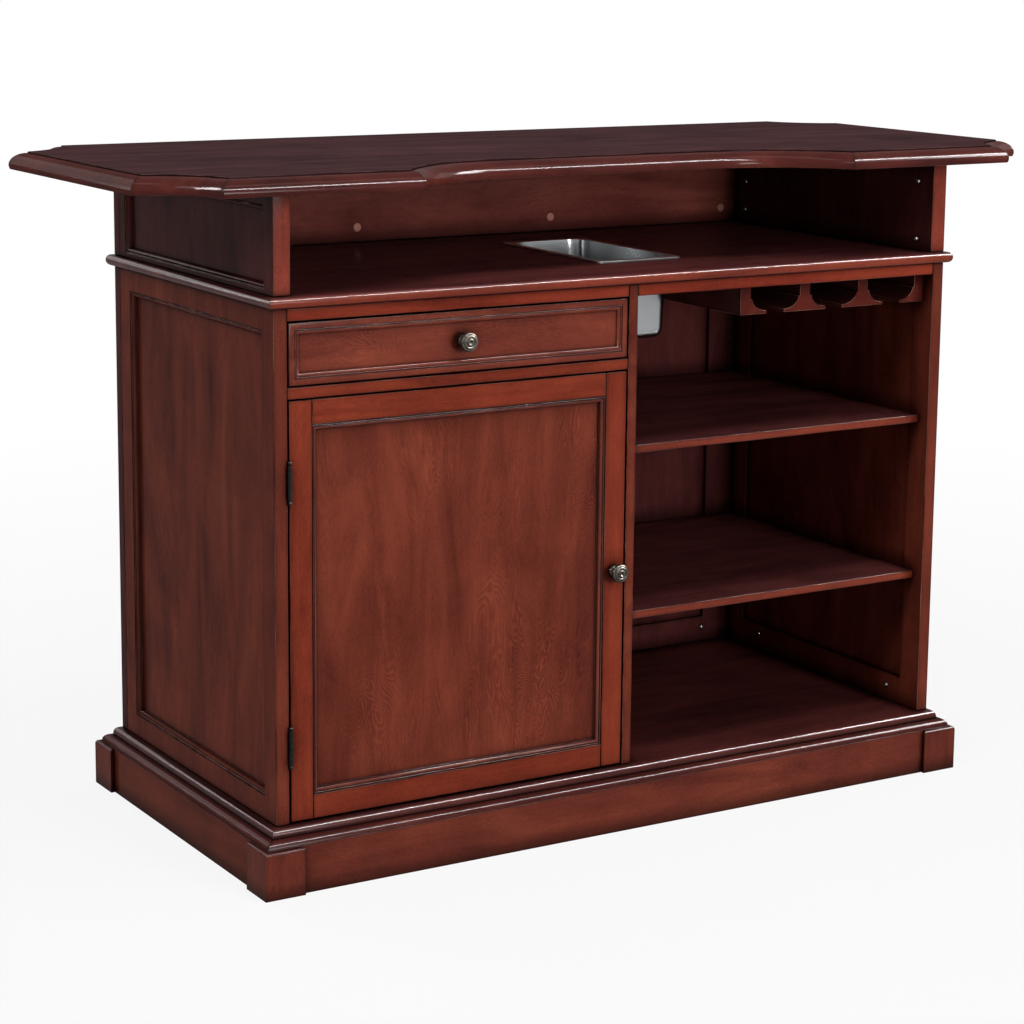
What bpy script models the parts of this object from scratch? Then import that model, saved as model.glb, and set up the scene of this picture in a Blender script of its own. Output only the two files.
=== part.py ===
"""A home bar in red-brown hardwood, modelled piece by piece.

Metres, +Z up. The bartender's side faces -Y, and the origin is on the floor under the middle of the
bar's overall box. Boards, frames and mouldings are separate solids, a hair apart where they touch.
"""

import math

import bmesh
import bpy
from mathutils import Matrix, Vector

# Clearances
GAP = 0.0003
EASE = 0.0010
CUT_SPARE = 0.010
ARC_SPARE = math.radians(5)

# Overall sizes
TOP_WIDTH = 1.626
TOP_DEPTH = 0.673
BAR_HEIGHT = 1.067
SIDE_OVERHANG = 0.193
FRONT_OVERHANG = 0.043
BODY_WIDTH = TOP_WIDTH - 2 * SIDE_OVERHANG
BODY_DEPTH = 0.580

# Bar top and its thumb moulding
TOP_THICKNESS = 0.028
TOP_LIP = 0.0022
TOP_LIP_EASE = 0.0008
THUMB_WIDTH = 0.024
THUMB_DROP = 0.019
THUMB_UNDERCUT = 0.0018
THUMB_STEPS = 7
CORNER_LEG = 0.097
CORNER_SWEEP = math.radians(70)
CORNER_STEPS = 10
RECESS_HALF_WIDTH = 0.392
RECESS_DEPTH = 0.106
RECESS_SWEEP = math.radians(58)
RECESS_STEPS = 13

# Counter and base
COUNTER_DROP = 0.176
COUNTER_HEIGHT = BAR_HEIGHT - COUNTER_DROP
COUNTER_THICKNESS = 0.018
COUNTER_NOSING = 0.011
COUNTER_ROUND = 0.0080
BASE_HEIGHT = 0.100
BASE_PANEL_THICKNESS = 0.014
BASE_NOSING = 0.012
BASE_ROUND = 0.0105
NOSING_STEPS = 4
PLINTH_PROUD = 0.028
PLINTH_THICKNESS = 0.024
PLINTH_LEDGE = 0.0015
PLINTH_ROUND = 0.011
PLINTH_STEPS = 4
BLOCK_PROUD = 0.035
BLOCK_WIDTH = 0.066
BLOCK_HEIGHT = 0.074
BLOCK_ROUND = 0.0055
BLOCK_STEPS = 3

# Frame and panel work
SIDE_THICKNESS = 0.022
SIDE_STILE = 0.038
SIDE_HEAD_RAIL = 0.034
SIDE_FOOT_RAIL = 0.037
BACK_THICKNESS = 0.022
BACK_STILE = 0.068
BACK_MULLION = 0.045
BACK_BAYS = 3
MOULD_WIDTH = 0.010
PANEL_RECESS = 0.0095
PANEL_LIP = 0.0012
PANEL_THICKNESS = 0.006
PANEL_BITE = 0.0075
GROOVE_DEPTH = 0.008
OVOLO_STEPS = 4

# Upper compartment, between counter and bar top
UPPER_SIDE_THICKNESS = 0.028
POST_DEPTH = 0.030
UPPER_BACK_STILE = 0.022
UPPER_FOOT_RAIL = 0.007
UPPER_HEAD_RAIL = 0.018

# Inside the body
DIVIDER_THICKNESS = 0.017
RAIL_HEIGHT = 0.019
RAIL_DEPTH = 0.022
MID_RAIL_DROP = 0.134
MID_RAIL_HEIGHT = 0.017
SHELF_THICKNESS = 0.013
SHELF_SETBACK = 0.022
UPPER_SHELF_SHARE = 0.664
LOWER_SHELF_SHARE = 0.315

# Stemware rack
RACK_RAILS = 4
RACK_FROM_BIN = 0.0407
RACK_WEB = 0.020
RACK_SLOT = 0.035
RACK_SHOULDER = 0.003
RACK_LIP = 0.005
RACK_COVE = 0.020
RACK_HEIGHT = 0.066
RACK_LENGTH = 0.300
RACK_STEPS = 6

# Drawer
REVEAL = 0.0025
DRAWER_FRONT_THICKNESS = 0.020
DRAWER_BORDER = 0.0095
DRAWER_FIELD_RECESS = 0.005
DRAWER_WALL = 0.013
DRAWER_BOX_HEIGHT = 0.070
DRAWER_BOX_LIFT = 0.0085
DRAWER_BOX_LENGTH = 0.420
DRAWER_SIDE_CLEARANCE = 0.0065
DRAWER_BOTTOM = 0.006
DRAWER_BOTTOM_LIFT = 0.008
DRAWER_BOTTOM_BITE = 0.005
RUNNER_THICKNESS = 0.012
RUNNER_HEIGHT = 0.016
RUNNER_PLAY = 0.0005

# Door
DOOR_THICKNESS = 0.020
DOOR_MEMBER = 0.037
DOOR_FOOT_REVEAL = 0.003

# Butt hinges
HINGE_HEIGHT = 0.050
HINGE_FROM_HEAD = 0.120
HINGE_FROM_FOOT = 0.115
HINGE_KNUCKLES = 5
HINGE_LEAF_THICKNESS = 0.0008
HINGE_LEAF_WIDTH = 0.016
HINGE_BARREL_RADIUS = 0.0033
HINGE_PIN_RADIUS = 0.0014
HINGE_BORE_RADIUS = 0.0017
HINGE_AXIS_PROUD = 0.0040
HINGE_BALL_RADIUS = 0.0030
HINGE_BALL_REACH = 0.0080
HINGE_BALL_STEPS = 4
HINGE_STEPS = 16

# Knobs, with the profile as shares of radius and reach from the middle of the face to the foot
KNOB_RADIUS = 0.0150
KNOB_REACH = 0.025
KNOB_STEPS = 28
KNOB_PROFILE = (
    (0.00, 0.93), (0.17, 0.94), (0.24, 1.00), (0.37, 1.00), (0.44, 0.94), (0.57, 0.955), (0.75, 0.93),
    (0.80, 0.88), (0.95, 0.82), (1.00, 0.74), (0.97, 0.66), (0.77, 0.58), (0.50, 0.46), (0.40, 0.32),
    (0.45, 0.16), (0.60, 0.07), (0.60, 0.00), (0.00, 0.00),
)

# Ice bin
BIN_WIDTH = 0.163
BIN_LENGTH = 0.302
BIN_DEPTH = 0.133
BIN_FROM_DIVIDER = 0.0085
BIN_FROM_FRONT = 0.130
BIN_RIM = 0.011
BIN_RIM_CORNER = 0.009
BIN_CORNER = 0.028
BIN_WALL = 0.0012
BIN_TAPER = 0.004
BIN_FOOT_ROUND = 0.016
BIN_CORNER_STEPS = 4
BIN_ROUND_STEPS = 3
BIN_CUT_PLAY = 0.002

# Heights, faces and edges worked out from the sizes
HALF_TOP = TOP_WIDTH / 2
TOP_BACK = TOP_DEPTH / 2
TOP_FRONT = -TOP_BACK
TOP_UNDERSIDE = BAR_HEIGHT - TOP_THICKNESS
HALF_BODY = BODY_WIDTH / 2
BODY_FRONT = TOP_FRONT + FRONT_OVERHANG
BODY_BACK = BODY_FRONT + BODY_DEPTH
BACK_INNER = BODY_BACK - BACK_THICKNESS
SIDE_INNER = HALF_BODY - SIDE_THICKNESS
COUNTER_UNDERSIDE = COUNTER_HEIGHT - COUNTER_THICKNESS
HALF_DIVIDER = DIVIDER_THICKNESS / 2
RAIL_UNDERSIDE = COUNTER_UNDERSIDE - RAIL_HEIGHT
MID_RAIL_TOP = COUNTER_HEIGHT - MID_RAIL_DROP
MID_RAIL_UNDERSIDE = MID_RAIL_TOP - MID_RAIL_HEIGHT
CLEAR_HEIGHT = COUNTER_UNDERSIDE - BASE_HEIGHT
UPPER_SHELF_TOP = BASE_HEIGHT + UPPER_SHELF_SHARE * CLEAR_HEIGHT
LOWER_SHELF_TOP = BASE_HEIGHT + LOWER_SHELF_SHARE * CLEAR_HEIGHT
PLINTH_HEIGHT = BASE_HEIGHT - BASE_PANEL_THICKNESS - GAP
UPPER_LOW = COUNTER_HEIGHT + GAP
UPPER_HIGH = TOP_UNDERSIDE - GAP
LOWER_LOW = BASE_HEIGHT + GAP
LOWER_HIGH = COUNTER_UNDERSIDE - GAP

# The stemware rails, spread between the ice bin and the side
RACK_FIRST = HALF_DIVIDER + BIN_FROM_DIVIDER + BIN_WIDTH + RACK_FROM_BIN + RACK_WEB / 2
RACK_LAST = SIDE_INNER - GAP - RACK_WEB / 2
RACK_PITCH = (RACK_LAST - RACK_FIRST) / (RACK_RAILS - 1)
RACK_FLANGE = (RACK_PITCH - RACK_WEB - RACK_SLOT) / 2

# The opening left of the divider, with the drawer front and the door in it
FRONT_LEFT = -SIDE_INNER + REVEAL
FRONT_RIGHT = -HALF_DIVIDER - REVEAL
DRAWER_LOW = MID_RAIL_TOP + REVEAL
DRAWER_HIGH = RAIL_UNDERSIDE - REVEAL
DRAWER_INNER_FACE = BODY_FRONT + DRAWER_FRONT_THICKNESS
DOOR_LOW = BASE_HEIGHT + DOOR_FOOT_REVEAL
DOOR_HIGH = MID_RAIL_UNDERSIDE - REVEAL
HINGE_X = -SIDE_INNER + REVEAL / 2
HINGE_Y = BODY_FRONT - HINGE_AXIS_PROUD

# Corners of the plan, anticlockwise from the bartender's right
CORNERS = (("front_right", 1, -1), ("back_right", 1, 1), ("back_left", -1, 1), ("front_left", -1, -1))
SIDES = (("left", -1), ("right", 1))


def make_collection(name):
    """Makes a collection in the scene."""
    group = bpy.data.collections.new(name)
    bpy.context.scene.collection.children.link(group)
    return group


def make_material(name, colour, roughness, metallic=0.0):
    """Makes a plain Principled material."""
    material = bpy.data.materials.new(name)
    material.use_nodes = True
    shader = material.node_tree.nodes["Principled BSDF"]
    shader.inputs["Base Color"].default_value = (*colour, 1.0)
    shader.inputs["Roughness"].default_value = roughness
    shader.inputs["Metallic"].default_value = metallic
    return material


def clear_scene():
    """Removes every object of the scene."""
    for obj in list(bpy.data.objects):
        bpy.data.objects.remove(obj, do_unlink=True)


def finish_mesh(name, bm, material, group):
    """Turns a bmesh into an object with its faces outward."""
    bmesh.ops.recalc_face_normals(bm, faces=bm.faces)
    mesh = bpy.data.meshes.new(name)
    bm.to_mesh(mesh)
    bm.free()
    mesh.shade_smooth()
    mesh.set_sharp_from_angle(angle=math.radians(30))
    if material:
        mesh.materials.append(material)
    obj = bpy.data.objects.new(name, mesh)
    group.objects.link(obj)
    return obj


def add_cutter(name, bm):
    """A cutter, drawn as wire, which isn't part of the bar."""
    obj = finish_mesh(name, bm, None, CUTTERS)
    obj.hide_render = True
    obj.display_type = "WIRE"
    return obj


def use_cutter(obj, cutter, operation="DIFFERENCE"):
    """Cuts or joins the object with a cutter, which follows it from then on."""
    boolean = obj.modifiers.new(cutter.name, "BOOLEAN")
    boolean.operation = operation
    boolean.solver = "EXACT"
    boolean.object = cutter
    cutter.parent = obj
    cutter.matrix_parent_inverse = obj.matrix_basis.inverted()


def hang_on(axis, *pieces):
    """Parents pieces to the empty on their joint's axis, without moving them."""
    for piece in pieces:
        piece.parent = axis
        piece.matrix_parent_inverse = axis.matrix_basis.inverted()


def add_axis(name, place):
    """An empty on a joint's axis."""
    axis = bpy.data.objects.new(name, None)
    axis.location = place
    PARTS.objects.link(axis)
    return axis


def box_mesh(low, high):
    """A box between two corners."""
    size = Vector(high) - Vector(low)
    centre = (Vector(low) + Vector(high)) / 2
    bm = bmesh.new()
    matrix = Matrix.Translation(centre) @ Matrix.Diagonal((*size, 1.0))
    bmesh.ops.create_cube(bm, size=1.0, matrix=matrix)
    return bm


def add_board(name, low, high, material, ease=EASE):
    """A board between two corners, with its edges eased and its origin at its middle."""
    centre = (Vector(low) + Vector(high)) / 2
    obj = finish_mesh(name, box_mesh(Vector(low) - centre, Vector(high) - centre), material, PARTS)
    obj.location = centre
    if ease:
        bevel = obj.modifiers.new("eased edges", "BEVEL")
        bevel.width = ease
        bevel.segments = 1
    return obj


def cut_box(obj, name, low, high):
    """Cuts a box-shaped groove or notch."""
    use_cutter(obj, add_cutter(name, box_mesh(low, high)))


def extrude(bm, face, offset):
    """Carries a face along an offset, and returns the face at the far end."""
    made = bmesh.ops.extrude_face_region(bm, geom=[face, *face.edges])["geom"]
    verts = [item for item in made if isinstance(item, bmesh.types.BMVert)]
    bmesh.ops.translate(bm, verts=verts, vec=offset)
    return next(item for item in made if isinstance(item, bmesh.types.BMFace))


def extruded(points, offset):
    """A flat outline carried along an offset."""
    bm = bmesh.new()
    face = bm.faces.new([bm.verts.new(point) for point in points])
    extrude(bm, face, offset)
    return bm


def round_over(bm, edges, radius, steps):
    """Rounds the given edges."""
    bmesh.ops.bevel(bm, geom=edges, offset=radius, segments=steps, profile=0.5, affect="EDGES")


def add_outline(name, points, thickness, material):
    """A flat outline in its own XY plane, as a filled curve of the given thickness."""
    curve = bpy.data.curves.new(name, "CURVE")
    curve.dimensions = "2D"
    curve.fill_mode = "BOTH"
    curve.extrude = thickness / 2
    spline = curve.splines.new("POLY")
    spline.points.add(len(points) - 1)
    for slot, point in zip(spline.points, points):
        slot.co = (point[0], point[1], 0.0, 1.0)
    spline.use_cyclic_u = True
    curve.materials.append(material)
    obj = bpy.data.objects.new(name, curve)
    PARTS.objects.link(obj)
    return obj


def add_turned(name, profile, steps, material):
    """A turned piece, from a profile that runs down its outer side from axis to axis."""
    bm = bmesh.new()
    verts = [bm.verts.new((radius, 0.0, height)) for radius, height in profile]
    for upper, lower in zip(verts, verts[1:]):
        bm.edges.new((upper, lower))
    mesh = bpy.data.meshes.new(name)
    bm.to_mesh(mesh)
    bm.free()
    mesh.materials.append(material)
    obj = bpy.data.objects.new(name, mesh)
    PARTS.objects.link(obj)
    screw = obj.modifiers.new("turned", "SCREW")
    screw.steps = steps
    screw.render_steps = steps
    screw.use_merge_vertices = True
    screw.merge_threshold = GAP / 10
    return obj


def loft(bm, loops, cyclic=False, open_start=False):
    """Joins loops of points with quads, and closes the first to the last or caps them."""
    rings = [[bm.verts.new(point) for point in loop] for loop in loops]
    followers = rings[1:] + rings[:1] if cyclic else rings[1:]
    for ring, follower in zip(rings, followers):
        count = len(ring)
        for i in range(count):
            j = (i + 1) % count
            bm.faces.new((ring[i], ring[j], follower[j], follower[i]))
    if not cyclic:
        bm.faces.new(rings[-1])
        if not open_start:
            bm.faces.new(rings[0])


def trim(bm, point, normal):
    """Cuts away what lies beyond a plane, and closes the cut."""
    geom = [*bm.verts, *bm.edges, *bm.faces]
    made = bmesh.ops.bisect_plane(
        bm, geom=geom, dist=GAP / 100, plane_co=point, plane_no=normal, clear_outer=True
    )["geom_cut"]
    edges = [item for item in made if isinstance(item, bmesh.types.BMEdge)]
    bmesh.ops.edgeloop_fill(bm, edges=edges)


def mitre_plane(mitre, kept):
    """The upright plane through a mitre's outer and inner points, half a gap back towards the kept side."""
    outer, inner = mitre
    along = (inner - outer).normalized()
    away = Vector((along.y, -along.x, 0.0))
    if away.dot(kept - outer) > 0:
        away = -away
    return outer - away * (GAP / 2), away


def add_moulding(name, section, start, inward, moves, mitres, kept, material):
    """A moulding whose section is carried along straight runs and arcs, then mitred at its ends.

    The section holds pairs of distance in from the outer line and height. A move is an offset, or a
    centre, an angle and a number of steps.
    """
    bm = bmesh.new()
    points = [start + inward * depth + Vector((0.0, 0.0, height)) for depth, height in section]
    face = bm.faces.new([bm.verts.new(point) for point in points])
    for move in moves:
        if isinstance(move, Vector):
            face = extrude(bm, face, move)
            continue
        centre, angle, steps = move
        made = bmesh.ops.spin(
            bm, geom=[face, *face.edges], cent=centre, axis=(0.0, 0.0, 1.0), angle=angle, steps=steps
        )["geom_last"]
        face = next(item for item in made if isinstance(item, bmesh.types.BMFace))
    for mitre in mitres:
        trim(bm, *mitre_plane(mitre, kept))
    return finish_mesh(name, bm, material, PARTS)


def add_straight_moulding(name, section, first, last, inward, material):
    """A straight moulding between two mitres, each given by its outer and inner points."""
    run = last[0] - first[0]
    spare = run.normalized() * (max(depth for depth, height in section) + CUT_SPARE)
    middle = (first[0] + last[0]) / 2
    moves = [run + 2 * spare]
    return add_moulding(
        name, section, first[0] - spare, inward, moves, (first, last), middle, material
    )


def turn_between(centre, start, end):
    """The signed angle from one point to another about a centre."""
    begin = start - centre
    finish = end - centre
    turn = math.atan2(finish.y, finish.x) - math.atan2(begin.y, begin.x)
    return (turn + math.pi) % (2 * math.pi) - math.pi


def turned_about(centre, point, angle):
    """A point carried round a centre."""
    return centre + Matrix.Rotation(angle, 3, "Z") @ (point - centre)


def arc_points(centre, start, end, steps):
    """Points along the arc from start to end."""
    turn = turn_between(centre, start, end)
    return [turned_about(centre, start, turn * step / steps) for step in range(steps + 1)]


def scallop(sx, sy, inset):
    """A corner scallop, moved in by inset: its centre, and its ends on the long and the short edge."""
    half_chord = CORNER_LEG / math.sqrt(2)
    radius = half_chord / math.sin(CORNER_SWEEP / 2)
    beyond = (radius * math.cos(CORNER_SWEEP / 2) - half_chord) / math.sqrt(2)
    reach = math.sqrt((radius + inset) ** 2 - (beyond + inset) ** 2) - beyond
    centre = Vector((sx * (HALF_TOP + beyond), sy * (TOP_BACK + beyond), 0.0))
    on_long = Vector((sx * (HALF_TOP - reach), sy * (TOP_BACK - inset), 0.0))
    on_short = Vector((sx * (HALF_TOP - inset), sy * (TOP_BACK - reach), 0.0))
    return centre, on_long, on_short


def recess_arc(side, inset):
    """One end arc of the recess, moved in by inset: its centre, its end at the front and at the flat."""
    outer_radius = RECESS_DEPTH / (1 - math.cos(RECESS_SWEEP))
    half_flat = RECESS_HALF_WIDTH - outer_radius * math.sin(RECESS_SWEEP)
    rise = outer_radius - RECESS_DEPTH + inset
    half_width = half_flat + math.sqrt((outer_radius + inset) ** 2 - rise ** 2)
    centre = Vector((side * half_flat, TOP_FRONT + RECESS_DEPTH - outer_radius, 0.0))
    at_front = Vector((side * half_width, TOP_FRONT + inset, 0.0))
    at_flat = centre + Vector((0.0, outer_radius + inset, 0.0))
    return centre, at_front, at_flat


def top_outline(inset):
    """The bar top's outline, moved in by inset, anticlockwise from the recess's left end."""
    centre, at_front, at_flat = recess_arc(-1, inset)
    points = arc_points(centre, at_front, at_flat, RECESS_STEPS)
    centre, at_front, at_flat = recess_arc(1, inset)
    points += arc_points(centre, at_flat, at_front, RECESS_STEPS)
    for _, sx, sy in CORNERS:
        centre, on_long, on_short = scallop(sx, sy, inset)
        ends = (on_long, on_short) if sx * sy < 0 else (on_short, on_long)
        points += arc_points(centre, *ends, CORNER_STEPS)
    return points


def thumb_section():
    """The bar top's edge: a quarter ellipse down to the nose, then a slight turn back underneath."""
    nose = BAR_HEIGHT - TOP_LIP - THUMB_DROP
    section = []
    for step in range(THUMB_STEPS + 1):
        turn = math.pi / 2 * step / THUMB_STEPS
        section.append((THUMB_WIDTH * (1 - math.sin(turn)), nose + THUMB_DROP * math.cos(turn)))
    for share in (0.5, 1.0):
        section.append((THUMB_UNDERCUT * share ** 2, nose - (nose - TOP_UNDERSIDE) * share))
    section.append((THUMB_WIDTH, TOP_UNDERSIDE))
    return section


def add_bar_top():
    """The flat field of the bar top."""
    points = top_outline(THUMB_WIDTH + GAP)
    field = add_outline("bar_top_panel", points, TOP_THICKNESS, TOP_WOOD)
    field.location = (0.0, 0.0, TOP_UNDERSIDE + TOP_THICKNESS / 2)
    weld = field.modifiers.new("welded", "WELD")
    weld.merge_threshold = GAP / 10
    bevel = field.modifiers.new("eased lip", "BEVEL")
    bevel.width = TOP_LIP_EASE
    bevel.segments = 1
    bevel.limit_method = "ANGLE"
    bevel.angle_limit = math.radians(60)


def corner_mitres(sx, sy):
    """A corner's mitres with the long and the short edge, as outer and inner points."""
    _, outer_long, outer_short = scallop(sx, sy, 0.0)
    _, inner_long, inner_short = scallop(sx, sy, THUMB_WIDTH)
    return (outer_long, inner_long), (outer_short, inner_short)


def recess_mitre(side):
    """The mitre between the recess and the front edge."""
    _, outer, _ = recess_arc(side, 0.0)
    _, inner, _ = recess_arc(side, THUMB_WIDTH)
    return outer, inner


def add_recess_moulding(section):
    """The moulding that bends round the recess."""
    left_centre, left_front, left_flat = recess_arc(-1, 0.0)
    right_centre, _, right_flat = recess_arc(1, 0.0)
    turn = turn_between(left_centre, left_front, left_flat)
    turn += math.copysign(ARC_SPARE, turn)
    start = turned_about(left_centre, left_flat, -turn)
    moves = [
        (left_centre, turn, RECESS_STEPS),
        right_flat - left_flat,
        (right_centre, turn, RECESS_STEPS),
    ]
    add_moulding(
        "top_moulding_recess", section, start, (start - left_centre).normalized(), moves,
        (recess_mitre(-1), recess_mitre(1)), (left_flat + right_flat) / 2, TOP_WOOD,
    )


def add_corner_moulding(name, section, sx, sy):
    """The moulding round one scalloped corner."""
    centre, on_long, on_short = scallop(sx, sy, 0.0)
    turn = turn_between(centre, on_long, on_short)
    spare = math.copysign(ARC_SPARE, turn)
    start = turned_about(centre, on_long, -spare)
    middle = turned_about(centre, on_long, turn / 2)
    moves = [(centre, turn + 2 * spare, CORNER_STEPS)]
    add_moulding(
        name, section, start, (start - centre).normalized(), moves, corner_mitres(sx, sy), middle, TOP_WOOD
    )


def add_top_mouldings():
    """The edge of the bar top: straight lengths, four corners and the recess, mitred to each other."""
    section = thumb_section()
    long_mitres = {}
    short_mitres = {}
    for place, sx, sy in CORNERS:
        long_mitres[sx, sy], short_mitres[sx, sy] = corner_mitres(sx, sy)
        add_corner_moulding("top_moulding_corner_" + place, section, sx, sy)
    for word, side in SIDES:
        add_straight_moulding(
            "top_moulding_front_" + word, section, long_mitres[side, -1], recess_mitre(side),
            Vector((0.0, 1.0, 0.0)), TOP_WOOD,
        )
        add_straight_moulding(
            "top_moulding_" + word, section, short_mitres[side, -1], short_mitres[side, 1],
            Vector((-side, 0.0, 0.0)), TOP_WOOD,
        )
    add_straight_moulding(
        "top_moulding_back", section, long_mitres[-1, 1], long_mitres[1, 1],
        Vector((0.0, -1.0, 0.0)), TOP_WOOD,
    )
    add_recess_moulding(section)


def bead_edge(width, depth):
    """The moulded edge inside a frame, as pairs of distance out from the opening and depth.

    From below the frame's face inwards: a thin bead, a groove, a wide ovolo and a fillet.
    """
    edge = [
        (width, 0.20 * depth),
        (0.94 * width, 0.22 * depth),
        (0.89 * width, 0.10 * depth),
        (0.77 * width, 0.10 * depth),
        (0.72 * width, 0.22 * depth),
        (0.66 * width, 0.36 * depth),
    ]
    for step in range(OVOLO_STEPS + 1):
        turn = math.pi / 2 * step / OVOLO_STEPS
        edge.append(((0.60 - 0.46 * math.sin(turn)) * width, (0.86 - 0.60 * math.cos(turn)) * depth))
    edge.append((0.09 * width, depth))
    edge.append((0.0, depth))
    return edge


def rect_loop(rect, grow, depth, place):
    """A rectangle, grown all round, at a depth below a face."""
    left, right, low, high = rect
    us = (left - grow, right + grow, right + grow, left - grow)
    vs = (low - grow, low - grow, high + grow, high + grow)
    return [place(u, v, depth) for u, v in zip(us, vs)]


def cut_opening(obj, name, rect, place, thickness):
    """Cuts a moulded opening through a frame, with a groove for its panel."""
    near = PANEL_RECESS - GAP
    far = PANEL_RECESS + PANEL_THICKNESS + GAP
    steps = [(MOULD_WIDTH, -CUT_SPARE), *bead_edge(MOULD_WIDTH, PANEL_RECESS - PANEL_LIP)]
    steps += [(0.0, near), (GROOVE_DEPTH, near), (GROOVE_DEPTH, far), (0.0, far)]
    steps.append((0.0, thickness + CUT_SPARE))
    bm = bmesh.new()
    loft(bm, [rect_loop(rect, grow, depth, place) for grow, depth in steps])
    use_cutter(obj, add_cutter(name, bm))


def cut_pocket(obj, name, rect, place, depth):
    """Cuts a moulded recess that leaves a flat field."""
    steps = [(MOULD_WIDTH, -CUT_SPARE), *bead_edge(MOULD_WIDTH, depth)]
    bm = bmesh.new()
    loft(bm, [rect_loop(rect, grow, level, place) for grow, level in steps])
    use_cutter(obj, add_cutter(name, bm))


def add_panel(name, rect, place):
    """The flat panel held in the groove round an opening."""
    left, right, low, high = rect
    near = place(left - PANEL_BITE, low - PANEL_BITE, PANEL_RECESS)
    far = place(right + PANEL_BITE, high + PANEL_BITE, PANEL_RECESS + PANEL_THICKNESS)
    corners = [sorted(pair) for pair in zip(near, far)]
    return add_board(name, [pair[0] for pair in corners], [pair[1] for pair in corners], WOOD, ease=0)


def on_side(side):
    """Places (along Y, up, depth) on the left or right face of the body."""
    return lambda u, v, depth: Vector((side * (HALF_BODY - depth), u, v))


def on_back(u, v, depth):
    """Places (along X, up, depth) on the back face of the body."""
    return Vector((u, BODY_BACK - depth, v))


def on_front(u, v, depth):
    """Places (along X, up, depth) on the bartender's face of the body."""
    return Vector((u, BODY_FRONT + depth, v))


def side_corners(side, thickness, low, high):
    """Lowest and highest corners of a side of the body, from its front face to the back piece."""
    xs = sorted((side * HALF_BODY, side * (HALF_BODY - thickness)))
    return (xs[0], BODY_FRONT, low), (xs[1], BACK_INNER - GAP, high)


def bay_rects(low, high, stile, head, foot):
    """The openings of a back piece, side by side between its stiles and mullions."""
    inner = HALF_BODY - stile
    width = (2 * inner - (BACK_BAYS - 1) * BACK_MULLION) / BACK_BAYS
    rects = []
    for bay in range(BACK_BAYS):
        left = -inner + bay * (width + BACK_MULLION) + MOULD_WIDTH
        right = left + width - 2 * MOULD_WIDTH
        rects.append((left, right, low + foot + MOULD_WIDTH, high - head - MOULD_WIDTH))
    return rects


def add_upper_compartment():
    """The two sides and the back between the counter and the bar top."""
    for word, side in SIDES:
        low, high = side_corners(side, UPPER_SIDE_THICKNESS, UPPER_LOW, UPPER_HIGH)
        piece = add_board("upper_side_" + word, low, high, WOOD)
        rect = (
            BODY_FRONT + POST_DEPTH + MOULD_WIDTH, BACK_INNER - UPPER_BACK_STILE - MOULD_WIDTH,
            UPPER_LOW + UPPER_FOOT_RAIL + MOULD_WIDTH, UPPER_HIGH - UPPER_HEAD_RAIL - MOULD_WIDTH,
        )
        cut_pocket(piece, f"upper_side_{word}_recess",rect, on_side(side), PANEL_RECESS)
    back = add_board(
        "upper_back", (-HALF_BODY, BACK_INNER, UPPER_LOW), (HALF_BODY, BODY_BACK, UPPER_HIGH), WOOD
    )
    rects = bay_rects(UPPER_LOW, UPPER_HIGH, SIDE_STILE, UPPER_HEAD_RAIL, UPPER_HEAD_RAIL)
    for bay, rect in enumerate(rects):
        cut_pocket(back, f"upper_back_recess_{bay}",rect, on_back, PANEL_RECESS)


def add_lower_sides():
    """The framed lower sides, each with its panel."""
    for word, side in SIDES:
        low, high = side_corners(side, SIDE_THICKNESS, LOWER_LOW, LOWER_HIGH)
        frame = add_board("side_frame_" + word, low, high, WOOD)
        rect = (
            BODY_FRONT + SIDE_STILE + MOULD_WIDTH, BACK_INNER - SIDE_STILE - MOULD_WIDTH,
            LOWER_LOW + SIDE_FOOT_RAIL + MOULD_WIDTH, LOWER_HIGH - SIDE_HEAD_RAIL - MOULD_WIDTH,
        )
        cut_opening(frame, f"side_{word}_opening",rect, on_side(side), SIDE_THICKNESS)
        add_panel("side_panel_" + word, rect, on_side(side))


def add_lower_back():
    """The framed lower back, recessed on both faces round each of its panels."""
    back = add_board(
        "lower_back", (-HALF_BODY, BACK_INNER, LOWER_LOW), (HALF_BODY, BODY_BACK, LOWER_HIGH), WOOD
    )
    rects = bay_rects(LOWER_LOW, LOWER_HIGH, BACK_STILE, SIDE_HEAD_RAIL, SIDE_FOOT_RAIL)
    for bay, rect in enumerate(rects):
        cut_pocket(back, f"lower_back_recess_{bay}",rect, on_back, PANEL_RECESS)
        left, right, low, high = rect
        inside = on_back(left, low, BACK_THICKNESS + CUT_SPARE)
        panel_back = on_back(right, high, PANEL_RECESS + PANEL_THICKNESS)
        cut_box(back, f"lower_back_inner_recess_{bay}",inside, panel_back)


def add_nosed_board(name, low, high, radius, both_edges):
    """A board with a rounded edge all round, on its top alone or on top and bottom."""
    centre = (Vector(low) + Vector(high)) / 2
    bm = box_mesh(Vector(low) - centre, Vector(high) - centre)
    edges = []
    for edge in bm.edges:
        heights = [vert.co.z for vert in edge.verts]
        if min(heights) > 0 or (both_edges and max(heights) < 0):
            edges.append(edge)
    round_over(bm, edges, radius, NOSING_STEPS)
    obj = finish_mesh(name, bm, WOOD, PARTS)
    obj.location = centre
    return obj


def rounded_loop(half_x, half_y, corner, height, middle=(0.0, 0.0)):
    """A rectangle with rounded corners, level, about a middle."""
    points = []
    for quarter, (sx, sy) in enumerate(((1, 1), (-1, 1), (-1, -1), (1, -1))):
        for step in range(BIN_CORNER_STEPS + 1):
            turn = math.pi / 2 * (quarter + step / BIN_CORNER_STEPS)
            x = sx * (half_x - corner) + corner * math.cos(turn)
            y = sy * (half_y - corner) + corner * math.sin(turn)
            points.append(Vector((middle[0] + x, middle[1] + y, height)))
    return points


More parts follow.
